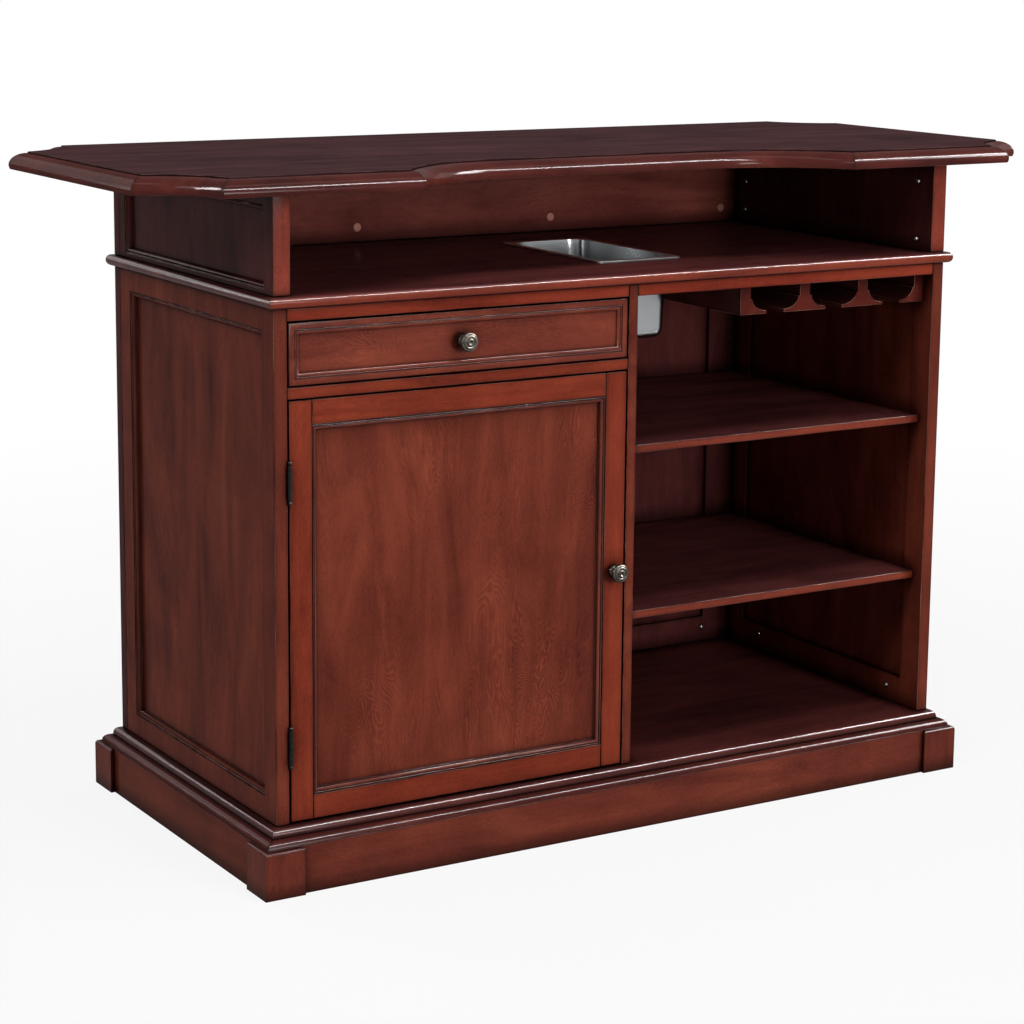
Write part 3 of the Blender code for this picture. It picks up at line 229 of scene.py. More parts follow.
def wood(name, along, palette, rough=0.30, coat=0.08, grime_and_shade=0.92, wear=0.5, grain=1.0, veneer=0.05, shaded=0.55,
         shown=None, crown=None):
    """Stained and glazed mahogany, its grain along one axis.

    palette is the stain's deep, middle and pale tone. grain is how strong the streaks are, and veneer how strong the
    growth lines. glaze is how dark crevices lie, with glazing and painted shade, shaded how dark it is along a piece's
    own edges, and wear how light those edges are rubbed. shown is a way along Y and the palette of the faces turned
    that way, a painted difference of light and shade between faces, and crown is a height and the palette above it.
    """
    g = Graph(name, Coat_Weight=coat, Coat_Roughness=COAT_ROUGHNESS, Specular_IOR_Level=0.0)
    deep = palette[0]
    place = g.place()

    def pattern(share, *settings):
        return g.noise(g.stretched(place, along, share), *settings)

    def tones(three):
        return g.ramp(tone, *zip(TONE_STOPS, three))

    streak, pore = pattern(*STREAK), pattern(*PORE)
    cloud = g.plus(g.times(g.noise(place, *CLOUD), CLOUD_SHARE), TONE_LIFT)
    wave = g.math("SINE", g.times(pattern(*GROWTH), GROWTH_LINES))
    wave = g.add("ShaderNodeMath", {0: wave, 1: 0.5, 2: 0.5}, operation="MULTIPLY_ADD").outputs[0]
    lines = g.times(g.math("POWER", wave, 2.0), g.ramp(pattern(*PATCH), *PATCH_STOPS))
    fleck = g.times(g.math("SUBTRACT", pattern(*FLECK), 0.5), FLECK_SHARE)
    tone = g.plus(g.times(streak, STREAK_SHARE * grain), g.times(pattern(*FIGURE), FIGURE_SHARE - STREAK_SHARE * grain),
                  cloud, g.times(lines, veneer), fleck)

    colour = tones(palette)
    # Painted light and shade: faces turned the shown way take one palette, the other faces another, lighter and darker
    # copies of the same wood.
    if shown:
        way, lit_palette = shown
        colour = g.mix(g.ramp(g.facing(way), *FACING_STOPS), colour, tones(lit_palette))
    if crown:
        height, upper_palette = crown
        above = g.math("DIVIDE", g.math("SUBTRACT", g.spot()[Z], height), CROWN_BLEND, clamp=True)
        colour = g.mix(above, colour, tones(upper_palette))
    pores = g.ramp(pore, (PORE_FROM, PORE_SHARE * grain), (PORE_TO, 0.0))
    colour = g.mix(pores, colour, darker(deep, PORE_TONE))
    if shaded:
        rim = g.times(g.rim(RIM_REACH, *RIM_STOPS), shaded)
        colour = g.mix(rim, colour, darker(deep, RIM_TONE))
    rubbed = g.ramp(pattern(*RUBBED), (RUBBED_FROM, 0.0), (RUBBED_TO, wear))
    colour = g.mix(g.times(g.edge(), EDGE_SHARE), colour, g.mix(rubbed, darker(deep, RIM_TONE), WORN))
    # Glaze and painted shade: darker in crevices, recesses and between parts, as far as the occlusion reaches.
    dirt_and_shade = g.times(g.crevice(GLAZE_SHADE_REACH, *GLAZE_SHADE_STOPS), grime_and_shade)
    colour = g.mix(dirt_and_shade, colour, darker(deep, GLAZE_SHADE_TONE))
    line = g.times(g.crevice(LINE_REACH, *LINE_STOPS), LINE_SHARE * min(1.0, grime_and_shade))
    colour = g.mix(line, colour, darker(deep, LINE_TONE))
    g.feed(g.shader.inputs["Base Color"], colour)

    uneven = g.plus(g.times(streak, STREAK_ROUGH), g.times(g.noise(place, *SMEAR), SMEAR_ROUGH))
    shine = g.plus(rough - MEAN_ROUGH, uneven)
    g.feed(g.shader.inputs["Roughness"], g.math("ADD", shine, g.times(dirt_and_shade, GLAZE_ROUGH), clamp=True))
    g.bump(g.plus(g.times(streak, STREAK_RELIEF), pore), OPEN_BUMP if coat < FILLED_FROM else FILLED_BUMP, PORE_DEPTH)
    return g.material


# Patterns of metal: scale, detail, roughness and distortion. Brush lines are drawn out by BRUSH_SHARE.
PATINA = (4.0, 0.65, 0.4)
SCUFFS, FINE_GRAIN, BRUSH_LINES = (160.0, 3.0), (900.0, 2.0), (1500.0, 3.0, 0.6)
BRUSH_SHARE = 0.02
METAL_STOPS = (0.32, 0.50, 0.70)
# How far dirt in hollows, with painted shade, and the painted shade of shut-in places reach into metal, in metres, how
# dark they are, and how far painted shade darkens faces under the counter.
DIRT_SHADE_REACH, SHADE_REACH = 0.004, 0.15
DIRT_SHADE_TONE, SHADE_TONE, UNDER_COUNTER_SHADE = 0.12, 0.30, 0.62
SHUT_STOPS = ((0.25, 1.0), (0.85, 0.0))
DIRT_SHADE_STOPS = ((0.40, 1.0), (0.92, 0.0))
# How much lighter worn metal is.
WORN_GAIN, WORN_LIFT = 2.2, 0.03
METAL_ROUGH, DIRT_ROUGH, METAL_BUMP, METAL_DEPTH = 0.14, 0.3, 0.12, 0.0002


def metal(name, palette, rough, metallic, brush=None, patina=40.0, grime_and_shade=0.8, wear=0.6, level=0.5, shut_in_shade=0.0,
          outside=None):
    """A metal finish with clouds of patina at a scale, dark recesses and worn edges.

    brush is the axis of brush lines. dull is how much painted shade darkens it where it is shut in. outside is a depth
    and a
    height: in front of the one and below the other, faces turned to the front are darkened by painted shade.
    """
    g = Graph(name, Metallic=metallic, Specular_IOR_Level=level)
    deep, _, pale = palette
    place = g.place()
    cloud = g.noise(place, patina, *PATINA)
    colour = g.ramp(cloud, *zip(METAL_STOPS, palette))
    worn = g.times(g.edge(), g.times(g.noise(place, *SCUFFS), wear))
    bare = tuple(min(1.0, c * WORN_GAIN + WORN_LIFT) for c in pale[:3]) + (1.0,)
    colour = g.mix(worn, colour, bare)
    # Painted shade: darker where a place is shut in from the room.
    if shut_in_shade:
        shut = g.times(g.crevice(SHADE_REACH, *SHUT_STOPS), shut_in_shade)
        colour = g.mix(shut, colour, darker(deep, SHADE_TONE))
    # Painted shade: front faces below the counter and in front of the given depth are darkened.
    if outside:
        spot = g.spot()
        there = g.times(g.math("LESS_THAN", spot[Y], outside[0]), g.math("LESS_THAN", spot[Z], outside[1]))
        there = g.times(there, g.ramp(g.facing(-1.0), (0.3, 0.0), (0.7, UNDER_COUNTER_SHADE)))
        colour = g.mix(there, colour, darker(deep, SHADE_TONE))
    # Darker in the hollows: dirt and patina, with painted shade.
    dirt_and_shade = g.times(g.crevice(DIRT_SHADE_REACH, *DIRT_SHADE_STOPS), grime_and_shade)
    g.feed(g.shader.inputs["Base Color"], g.mix(dirt_and_shade, colour, darker(deep, DIRT_SHADE_TONE)))
    if brush is None:
        fine = g.noise(place, *FINE_GRAIN)
    else:
        fine = g.noise(g.stretched(place, brush, BRUSH_SHARE), *BRUSH_LINES)
    change = g.plus(g.times(fine, METAL_ROUGH), g.times(cloud, METAL_ROUGH))
    dirty = g.plus(rough - METAL_ROUGH, g.times(dirt_and_shade, DIRT_ROUGH))
    g.feed(g.shader.inputs["Roughness"], g.math("ADD", change, dirty, clamp=True))
    g.bump(fine, METAL_BUMP, METAL_DEPTH)
    return g.material


BODY = (srgb(75, 30, 24), srgb(110, 49, 36), srgb(135, 65, 46))
# Painted shade: a darker copy of the body's wood, for faces inside the bays and under the top.
SHADED_BODY = (srgb(53, 24, 24), srgb(85, 41, 39), srgb(105, 52, 48))
# Painted shade, darker still, for the inside of the lower back.
GLOOM = (srgb(47, 22, 22), srgb(77, 38, 36), srgb(97, 49, 45))
TOP = (srgb(54, 32, 35), srgb(76, 46, 49), srgb(96, 59, 61))
FRAME = (srgb(82, 29, 21), srgb(124, 50, 33), srgb(150, 65, 42))
# Painted light: a lighter copy of the frame's wood, for the top rails in the shadow of the counter's nosing.
LIT_RAIL = (srgb(94, 31, 21), srgb(140, 55, 37), srgb(167, 71, 47))
FACE = (srgb(79, 32, 26), srgb(116, 52, 39), srgb(142, 69, 49))
BACKING = (srgb(66, 30, 27), srgb(97, 48, 42), srgb(120, 63, 54))
# Painted shade: a darker copy for the tops of the counter and shelves.
SHELF = (srgb(58, 28, 28), srgb(94, 47, 47), srgb(115, 60, 57))
# Painted light: a lighter copy for the front posts of the upper sides, in the shadow of the top.
LIT_POST = (srgb(96, 38, 30), srgb(142, 63, 49), srgb(168, 80, 61))
TRIM = (srgb(56, 22, 20), srgb(84, 36, 31), srgb(106, 50, 42))
# The faces of the stemware rails turned to the front: painted light against the painted shade of their other faces.
BAY = (srgb(60, 22, 18), srgb(94, 36, 28), srgb(118, 50, 38))
CAP = (srgb(130, 82, 72), srgb(166, 110, 98), srgb(190, 134, 120))
PLAIN = (srgb(128, 84, 52), srgb(166, 116, 76), srgb(190, 142, 98))
BLACK = (srgb(9, 8, 8), srgb(15, 14, 14), srgb(25, 24, 23))
ANTIQUE = (srgb(41, 38, 35), srgb(63, 59, 54), srgb(92, 87, 80))
STEEL = (srgb(168, 170, 172), srgb(196, 198, 199), srgb(216, 217, 218))
FRONT, REAR = -1.0, 1.0
PLINTH_CROWN, BLOCK_CROWN = 0.0725, 0.0690
BIN_MIDDLE = (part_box("ice_bin")[0][Y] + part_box("ice_bin")[1][Y]) / 2
COUNTER_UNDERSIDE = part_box("counter_top")[0][Z]
MATERIALS = {
    "body_x": wood("mahogany_across", X, BACKING),
    "body_y": wood("mahogany_deep", Y, BODY),
    "body_z": wood("mahogany_upright", Z, BODY),
    "drawer_x": wood("mahogany_drawer_front", X, FACE, coat=0.13, wear=0.25, veneer=0.09, grain=0.6),
    "frame_x": wood("mahogany_frame_across", X, FRAME, coat=0.07, grime_and_shade=0.75),
    "rail_x": wood("mahogany_rail_across", X, LIT_RAIL, coat=0.07, grime_and_shade=0.7),
    "frame_z": wood("mahogany_frame_upright", Z, FRAME, coat=0.07),
    # Painted shade on the upper sides under the top, and painted light on their front posts.
    "upper_z": wood("mahogany_upper_side", Z, SHADED_BODY, shown=(FRONT, LIT_POST)),
    "plinth_x": wood("mahogany_plinth_across", X, BODY, rough=0.24, coat=0.13, crown=(PLINTH_CROWN, TRIM)),
    "plinth_y": wood("mahogany_plinth_deep", Y, BODY, rough=0.24, coat=0.09, crown=(PLINTH_CROWN, TRIM)),
    "block_z": wood("mahogany_block", Z, BODY, rough=0.24, coat=0.13, crown=(BLOCK_CROWN, TRIM)),
    "panel_door": wood("mahogany_door_panel", Z, BODY, veneer=0.13, grain=0.6),
    "panel_side": wood("mahogany_side_panel", Z, BODY, veneer=0.08, grain=0.6),
    # The next four: painted shade on faces inside the bays and on the lower back's inner face, with lighter palettes on
    # the faces turned the shown way.
    "inner_y": wood("mahogany_inner_deep", Y, SHADED_BODY, wear=1.8, shown=(FRONT, BAY)),
    "inner_z": wood("mahogany_inner_upright", Z, GLOOM, veneer=0.08, shown=(REAR, BODY)),
    "shelf_x": wood("mahogany_shelf_across", X, SHELF, rough=0.22, coat=0.24, shown=(FRONT, FRAME)),
    "base_x": wood("mahogany_base_across", X, SHADED_BODY, rough=0.22, coat=0.24, shown=(FRONT, TRIM)),
    "bead_z": wood("mahogany_bead", Z, BODY, rough=0.22, coat=0.28, grain=0.15, wear=0.2, shaded=0.3),
    "top_x": wood("mahogany_top_across", X, TOP, rough=0.42, coat=0.02, shaded=0.2),
    "trim_x": wood("mahogany_trim_across", X, TRIM, rough=0.22, coat=0.13, grain=0.3, shaded=0.3),
    "trim_y": wood("mahogany_trim_deep", Y, TRIM, rough=0.22, coat=0.05, grain=0.3, shaded=0.3),
    "cap_x": wood("screw_cap_wood", X, CAP, grime_and_shade=0.3, shaded=0.0),
    "plain_x": wood("drawer_wood_across", X, PLAIN, rough=0.5, coat=0.02, wear=0.1, shaded=0.0),
    "plain_y": wood("drawer_wood_deep", Y, PLAIN, rough=0.5, coat=0.02, wear=0.1, shaded=0.0),
    "black": metal("black_metal", BLACK, 0.34, 0.0, level=0.12),
    "antique": metal("antique_metal", ANTIQUE, 0.34, 1.0, patina=300.0, grime_and_shade=0.95),
    # Painted shade where the steel is shut in, and on the bin's front below the counter.
    "steel": metal("brushed_steel", STEEL, 0.22, 1.0, brush=X, patina=4.0, grime_and_shade=0.4, wear=0.2, shut_in_shade=0.35,
                   outside=(BIN_MIDDLE, COUNTER_UNDERSIDE)),
}
STAINED = ("body", "rail", "upper", "drawer", "frame", "plinth", "block", "base", "panel", "inner", "shelf", "cap",
           "bead")
SLOTS = dict.fromkeys(STAINED, "mahogany_body")
SLOTS.update(top="mahogany_top", trim="mahogany_top", plain="drawer_wood", black="black_metal",
             antique="antique_knob", steel="steel")

# ---------------------------------------------------------------- pieces

# Edges flatter than this are drawn smooth.
ROUND_BELOW = math.radians(50)
# Faces narrower than this at such an angle or more are chamfers of the CAD solid, and wear like corners.
CHAMFER_FROM, NARROW = math.radians(35), 0.0017
FINE_EDGE = 0.00045
WELD = 2e-5
FLAT = math.radians(0.5)


def put(name, bm, finish, body, stands_for=()):
    """A finished piece from its mesh: smooth over its curves, painted, riding on its body."""
    for face in bm.faces:
        face.smooth = True
    for edge in bm.edges:
        edge.smooth = edge.calc_face_angle(0.0) < ROUND_BELOW
    mesh = bpy.data.meshes.new(name)
    bm.to_mesh(mesh)
    bm.free()
    piece = bpy.data.objects.new(name, mesh)
    bpy.context.scene.collection.objects.link(piece)
    mesh.materials.append(MATERIALS[finish])
    normals = piece.modifiers.new("normals", "WEIGHTED_NORMAL")
    normals.keep_sharp = True
    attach(piece, body)
    if stands_for:
        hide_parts(*stands_for)


def fine_copy(node, finish, body, ease):
    """A finer copy of a CAD node: welded, flat faces whole again, its convex corners eased and marked for wear."""
    bm = bmesh.new()
    bm.from_mesh(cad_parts[node].data)
    bmesh.ops.remove_doubles(bm, verts=bm.verts, dist=WELD)
    bmesh.ops.dissolve_limit(bm, angle_limit=FLAT, verts=bm.verts, edges=bm.edges)
    mark = bm.faces.layers.float.new("edge")
    for face in bm.faces:
        longest = max(face.edges, key=lambda edge: edge.calc_length())
        slanted = CHAMFER_FROM < longest.calc_face_angle(0.0) < ROUND_BELOW
        face[mark] = 1.0 if slanted and face.calc_area() / longest.calc_length() < NARROW else 0.0
    if ease:
        corners = [e for e in bm.edges if e.is_convex and len(e.link_faces) == 2 and e.calc_face_angle() > ROUND_BELOW]
        made = bmesh.ops.bevel(bm, geom=corners, offset=ease, segments=2, profile=0.5, affect="EDGES",
                               clamp_overlap=False)
        for face in made["faces"]:
            face[mark] = 1.0
    put(node + "_fine", bm, finish, body, (node,))


def ring_mesh(rings):
    """Closed mesh through rings of points; a ring of one point closes an end."""
    bm = bmesh.new()
    loops = [[bm.verts.new(point) for point in ring] for ring in rings]
    for one, two in zip(loops, loops[1:]):
        count = max(len(one), len(two))
        for i in range(count):
            j = (i + 1) % count
            corners = [one[i % len(one)], one[j % len(one)], two[j % len(two)], two[i % len(two)]]
            bm.faces.new(list(dict.fromkeys(corners)))
    bmesh.ops.recalc_face_normals(bm, faces=bm.faces)
    bm.faces.layers.float.new("edge")
    return bm


def turned(profile, foot, axis, steps):
    """Rings of a turned shape. profile is (radius, height, corners), where corners 6 gives a hexagon and 0 a circle."""
    turn = Vector(axis).to_track_quat("Z", "Y").to_matrix()
    rings = []
    for radius, height, corners in profile:
        ring = []
        for i in range(steps if radius > 1e-6 else 1):
            angle = 2 * math.pi * i / steps
            if corners:
                part = 2 * math.pi / corners
                reach = radius * math.cos(part / 2) / math.cos(angle % part - part / 2)
            else:
                reach = radius
            ring.append(Vector(foot) + turn @ Vector((reach * math.cos(angle), reach * math.sin(angle), height)))
        rings.append(ring)
    return rings


def join(meshes):
    """One mesh of several separate closed shapes."""
    whole = bmesh.new()
    for bm in meshes:
        part = bpy.data.meshes.new("part")
        bm.to_mesh(part)
        bm.free()
        whole.from_mesh(part)
        bpy.data.meshes.remove(part)
    return whole


# ---------------------------------------------------------------- the bar's own nodes

WOODWORK = {
    "cabinet": {
        "top_x": ("bar_top_panel",),
        "trim_x": ("top_moulding_front_left", "top_moulding_front_right", "top_moulding_recess", "top_moulding_back",
                  "top_moulding_corner_front_right", "top_moulding_corner_back_right", "top_moulding_corner_back_left",
                  "top_moulding_corner_front_left"),
        "trim_y": ("top_moulding_left", "top_moulding_right"),
        "body_z": ("side_frame_left", "side_frame_right"),
        "upper_z": ("upper_side_left", "upper_side_right"),
        "panel_side": ("side_panel_left", "side_panel_right"),
        "rail_x": ("top_rail_left", "top_rail_right"),
        "frame_x": ("mid_rail",),
        "body_x": ("upper_back",),
        "body_y": ("centre_divider",),
        "plinth_x": ("plinth_front", "plinth_back"),
        "plinth_y": ("plinth_left", "plinth_right"),
        "block_z": ("corner_block_front_right", "corner_block_back_right", "corner_block_back_left",
                    "corner_block_front_left"),
        "shelf_x": ("counter_top", "shelf_upper", "shelf_lower"),
        "base_x": ("base_panel",),
        "inner_y": ("stemware_rail_1", "stemware_rail_2", "stemware_rail_3", "stemware_rail_4"),
        "inner_z": ("lower_back",),
        "plain_y": ("drawer_runner_left", "drawer_runner_right"),
        "black": ("hinge_upper_frame_leaf", "hinge_lower_frame_leaf"),
    },
    "drawer": {
        "drawer_x": ("drawer_front",),
        "plain_y": ("drawer_side_left", "drawer_side_right"),
        "plain_x": ("drawer_back", "drawer_bottom"),
    },
    "door": {
        "frame_z": ("door_stile_left", "door_stile_right"),
        "bead_z": ("door_moulding",),
        "frame_x": ("door_rail_bottom", "door_rail_top"),
        "panel_door": ("door_panel",),
        "black": ("hinge_upper_door_leaf", "hinge_lower_door_leaf"),
    },
    "bin": {"steel": ("ice_bin",)},
}
# Too thin or too close-fitting to ease.
UNEASED = ("ice_bin", "drawer_runner_left", "drawer_runner_right")
HINGE_EDGE = 0.00018
for body, finishes in WOODWORK.items():
    for finish, nodes in finishes.items():
        for node in nodes:
            edge = HINGE_EDGE if finish == "black" else FINE_EDGE
            fine_copy(node, finish, body, 0.0 if node in UNEASED else edge)

# ---------------------------------------------------------------- knobs

# Radius and height of the knob's outline, from the middle of its face to its foot, as shares of the CAD knob's.
KNOB_PROFILE = (
    (0.00, 0.925), (0.06, 0.925), (0.11, 0.932), (0.15, 0.948), (0.19, 0.975), (0.23, 0.993), (0.28, 1.000),
    (0.33, 0.994), (0.37, 0.972), (0.40, 0.942), (0.43, 0.924), (0.47, 0.922), (0.50, 0.938), (0.54, 0.955),
    (0.59, 0.960), (0.66, 0.951), (0.72, 0.932), (0.755, 0.898), (0.780, 0.882), (0.81, 0.888), (0.86, 0.884),
    (0.92, 0.858), (0.97, 0.812), (1.00, 0.750), (0.995, 0.700), (0.96, 0.655), (0.88, 0.612), (0.77, 0.575),
    (0.62, 0.525), (0.50, 0.455), (0.43, 0.385), (0.40, 0.320), (0.40, 0.245), (0.43, 0.185), (0.49, 0.150),
    (0.53, 0.138), (0.57, 0.105), (0.60, 0.070), (0.60, 0.000), (0.00, 0.000),
)
KNOB_STEPS = 72
TO_FRONT = (0, -1, 0)
for node, body in (("drawer_knob", "drawer"), ("door_knob", "door")):
    low, high = (Vector(corner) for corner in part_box(node))
    middle, reach, radius = (low + high) / 2, high.y - low.y, (high.x - low.x) / 2
    rings = turned([(share * radius, height * reach, 0) for share, height in KNOB_PROFILE],
                   (middle.x, high.y, middle.z), TO_FRONT, KNOB_STEPS)
    put(node + "_turned", ring_mesh(rings), "antique", body, (node,))

# ---------------------------------------------------------------- screw caps and bolts

# Radius, height and corners of each outline.
CAP_PROFILE = ((0.0, 0.0022, 0), (0.0035, 0.0021, 0), (0.0058, 0.0017, 0), (0.0070, 0.0010, 0), (0.0074, 0.0004, 0),
               (0.0074, 0.0, 0), (0.0, 0.0, 0))
BOLT_PROFILE = ((0.0, 0.0006, 0), (0.0019, 0.0006, 6), (0.0021, 0.0024, 6), (0.0030, 0.0026, 0), (0.0041, 0.0019, 0),
                (0.0047, 0.0008, 0), (0.0047, 0.0, 0), (0.0, 0.0, 0))
CAP_STEPS, BOLT_STEPS = 32, 24
FACE_PLAY = 0.0001
UPPER_BACK_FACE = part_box("upper_back")[0][Y] - FACE_PLAY
LOWER_BACK_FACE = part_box("lower_back")[0][Y] - FACE_PLAY
UPPER_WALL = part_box("upper_side_right")[0][X] - FACE_PLAY
LOWER_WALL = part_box("side_frame_right")[0][X] - FACE_PLAY
# Caps by x at one height, bolts in the side walls by y and z, and bolts in the back by x at one height.
CAPS, CAP_HEIGHT = (-0.565, -0.190, 0.194, 0.561), 0.9160
UPPER_BOLTS = ((-0.2540, 1.0070), (-0.2540, 0.9100), (0.2300, 0.9660), (0.2300, 0.9150))
LOWER_BOLTS = ((0.1635, 0.1310), (-0.2090, 0.1260))
BACK_BOLTS, BACK_BOLT_HEIGHT = (0.540, -0.540), 0.1270


def bolt(foot, way):
    return ring_mesh(turned(BOLT_PROFILE, foot, way, BOLT_STEPS))


caps = [ring_mesh(turned(CAP_PROFILE, (x, UPPER_BACK_FACE, CAP_HEIGHT), TO_FRONT, CAP_STEPS)) for x in CAPS]
put("upper_back_screw_caps", join(caps), "cap_x", "cabinet")
bolts = []
for side in (1, -1):
    for wall, spots in ((UPPER_WALL, UPPER_BOLTS), (LOWER_WALL, LOWER_BOLTS)):
        bolts += [bolt((side * wall, y, z), (-side, 0, 0)) for y, z in spots]
bolts += [bolt((x, LOWER_BACK_FACE, BACK_BOLT_HEIGHT), TO_FRONT) for x in BACK_BOLTS]
put("frame_bolts", join(bolts), "steel", "cabinet")

# ---------------------------------------------------------------- door catch


def block(low, high, ease):
    """A small box with eased edges."""
    bm = bmesh.new()
    bmesh.ops.create_cube(bm, size=1.0)
    for vert in bm.verts:
        vert.co = Vector([low[i] + (vert.co[i] + 0.5) * (high[i] - low[i]) for i in range(3)])
    bm.faces.layers.float.new("edge")
    bmesh.ops.bevel(bm, geom=bm.edges, offset=ease, segments=2, profile=0.5, affect="EDGES")
    return bm


DIVIDER_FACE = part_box("centre_divider")[0][X] - FACE_PLAY
DOOR_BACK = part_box("door_stile_right")[1][Y]
CATCH_LOW, CATCH_HIGH = 0.676, 0.722
CATCH_WIDTH, CATCH_SCREW_DEPTH, CATCH_SCREW_INSET = 0.0140, 0.0100, 0.006


def by_the_catch(name, reach, depth, inset, ease, finish, body, *more):
    """A block left of the divider and behind the door, shorter than the catch by an inset at each end."""
    low = (DIVIDER_FACE - reach[0], DOOR_BACK + depth[0], CATCH_LOW + inset)
    high = (DIVIDER_FACE - reach[1], DOOR_BACK + depth[1], CATCH_HIGH - inset)
    put(name, join([block(low, high, ease), *more]), finish, body)


catch_screws = [bolt((DIVIDER_FACE - CATCH_WIDTH, DOOR_BACK + CATCH_SCREW_DEPTH, z), (-1, 0, 0))
                for z in (CATCH_LOW + CATCH_SCREW_INSET, CATCH_HIGH - CATCH_SCREW_INSET)]
by_the_catch("door_catch", (CATCH_WIDTH, 0.0), (0.0030, 0.0170), 0.0, 0.0012, "black", "cabinet", *catch_screws)
by_the_catch("door_catch_magnet", (0.0115, 0.0025), (0.0016, 0.0030), 0.010, 0.0003, "steel", "cabinet")
by_the_catch("door_strike", (0.0170, 0.0045), (0.0001, 0.0012), 0.004, 0.0004, "steel", "door")

# ---------------------------------------------------------------- floor, light and camera

FLOOR_HALF, FLOOR_DROP = 30.0, 0.0004
FLOOR_CORNERS = [(x * FLOOR_HALF, y * FLOOR_HALF, 0) for x, y in ((-1, -1), (1, -1), (1, 1), (-1, 1))]
# The floor throws this grey back at the bar, whatever the camera sees of it.
FLOOR_BOUNCE = (0.5, 0.5, 0.5, 1.0)
WHITE = (1.0, 1.0, 1.0, 1.0)
# From the bar outwards the floor fades from its shadow into plain white, over this many metres.
FADE_OVER = 4.0

floor_mesh = bpy.data.meshes.new("floor")
floor_mesh.from_pydata(FLOOR_CORNERS, [], [(0, 1, 2, 3)])
floor = bpy.data.objects.new("floor", floor_mesh)
floor.location.z = -FLOOR_DROP
bpy.context.scene.collection.objects.link(floor)
floor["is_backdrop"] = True
g = Graph("floor", Roughness=0.9, Specular_IOR_Level=0.0)
rays = g.add("ShaderNodeLightPath").outputs
here = g.add("ShaderNodeTexCoord").outputs["Object"]
paper = g.ramp(g.noise(here, 3.0), (0.3, 0.95), (0.7, 0.96))
g.feed(g.shader.inputs["Base Color"], g.mix(rays["Is Camera Ray"], FLOOR_BOUNCE, paper))
glow = g.add("ShaderNodeEmission", {"Color": WHITE, "Strength": 1.0})
far = g.add("ShaderNodeVectorMath", {0: here}, operation="LENGTH").outputs["Value"]
fade = g.ramp(g.math("DIVIDE", far, FADE_OVER), (0.30, 0.86), (0.85, 1.0))
seen = g.math("MAXIMUM", rays["Is Camera Ray"], rays["Is Transmission Ray"])
seen = g.times(g.math("MAXIMUM", seen, rays["Is Glossy Ray"]), fade)
blend = g.add("ShaderNodeMixShader", {0: seen, 1: g.shader.outputs[0], 2: glow.outputs[0]})
g.feed(g.tree.nodes["Material Output"].inputs["Surface"], blend.outputs[0])
floor_mesh.materials.append(g.material)

# How strongly the white room lights the bar; camera, glossy and transmission rays see it at full strength.
AMBIENT = 0.20
world = bpy.data.worlds.new("studio")
bpy.context.scene.world = world
world.use_nodes = True
tree = world.node_tree
rays = tree.nodes.new("ShaderNodeLightPath").outputs
either = tree.nodes.new("ShaderNodeMath")
either.operation = "MAXIMUM"
tree.links.new(rays["Is Camera Ray"], either.inputs[0])
tree.links.new(rays["Is Glossy Ray"], either.inputs[1])
through = tree.nodes.new("ShaderNodeMath")
through.operation = "MAXIMUM"
tree.links.new(either.outputs[0], through.inputs[0])
tree.links.new(rays["Is Transmission Ray"], through.inputs[1])
strength = tree.nodes.new("ShaderNodeMapRange")
strength.inputs["To Min"].default_value = AMBIENT
strength.inputs["To Max"].default_value = 1.0
tree.links.new(through.outputs[0], strength.inputs["Value"])
tree.links.new(strength.outputs[0], tree.nodes["Background"].inputs["Strength"])
tree.nodes["Background"].inputs["Color"].default_value = WHITE


def lamp(name, place, target, wide, high, power, shine_only):
    """A soft area light aimed at a point. One that is for shine only shows in the lacquer and lights nothing."""
    data = bpy.data.lights.new(name, "AREA")
    data.shape = "RECTANGLE"
    data.size, data.size_y = wide, high
    data.energy = power
    light = bpy.data.objects.new(name, data)
    light.location = place
    light.rotation_euler = (Vector(target) - Vector(place)).to_track_quat("-Z", "Y").to_euler()
    light.visible_camera = False
    light.visible_diffuse = not shine_only
    bpy.context.scene.collection.objects.link(light)


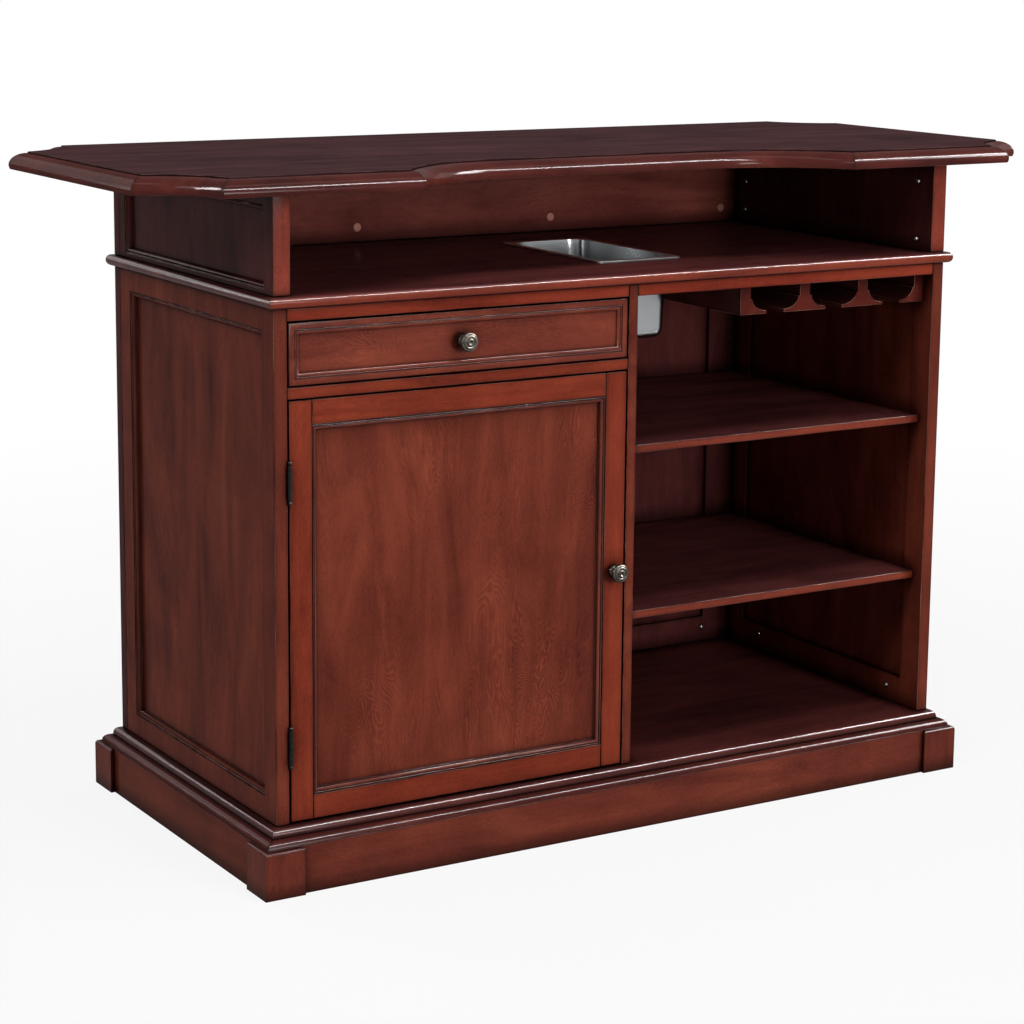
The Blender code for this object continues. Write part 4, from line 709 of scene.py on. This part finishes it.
# Name, place, aim, width, height and power of each lamp, and whether it is for shine only.
LAMPS = (
    ("key", (0.9, -4.7, 1.2), (0.0, 0.0, 0.5), 1.1, 1.1, 122.0, False),
    ("fill", (-3.7, -1.2, 3.2), (-0.6, 0.0, 0.6), 1.2, 1.2, 36.0, False),
    ("behind", (-1.6, 4.8, 2.3), (0.0, 0.0, 0.5), 2.4, 2.4, 75.0, False),
    ("beside", (4.6, 0.4, 2.2), (0.6, 0.0, 0.5), 2.4, 2.4, 42.0, False),
    ("above", (0.0, -1.0, 3.3), (0.0, -0.2, 0.9), 3.0, 0.5, 22.0, False),
    ("streak_front", (2.1, -2.3, 3.3), (0.3, -0.3, 0.7), 3.2, 0.16, 620.0, True),
    ("streak_left", (-2.5, 3.6, 2.3), (-0.8, 0.0, 0.5), 0.16, 3.2, 40.0, True),
    ("card_left", (-4.0, 0.8, 2.9), (-0.75, -0.3, 1.0), 2.6, 0.9, 900.0, True),
    ("card_right", (3.3, -1.6, 2.7), (-0.1, -0.3, 1.0), 1.7, 0.9, 600.0, True),
)
for settings in LAMPS:
    lamp(*settings)

YAW, PITCH, ROLL = math.radians(31.22), math.radians(10.13), math.radians(0.54)
FOCAL_PIXELS, PICTURE_PIXELS, SENSOR = 2646.52, 1024, 36.0
CAMERA_PLACE, CAMERA_SHIFT = (-2.26937, -3.67624, 1.40087), -0.10
forward = Vector((math.sin(YAW) * math.cos(PITCH), math.cos(YAW) * math.cos(PITCH), -math.sin(PITCH)))
right = Vector((math.cos(YAW), -math.sin(YAW), 0.0))
up = right.cross(forward)
tilted_right = right * math.cos(ROLL) + up * math.sin(ROLL)
tilted_up = up * math.cos(ROLL) - right * math.sin(ROLL)
camera_data = bpy.data.cameras.new("camera")
camera_data.sensor_width = SENSOR
camera_data.lens = FOCAL_PIXELS / PICTURE_PIXELS * SENSOR
camera_data.shift_y = CAMERA_SHIFT
camera = bpy.data.objects.new("camera", camera_data)
turn = Matrix((tilted_right, tilted_up, -forward)).transposed()
camera.matrix_world = Matrix.Translation(CAMERA_PLACE) @ turn.to_4x4()
bpy.context.scene.collection.objects.link(camera)
bpy.context.scene.camera = camera
bpy.context.scene.view_settings.view_transform = "Standard"

low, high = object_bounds()
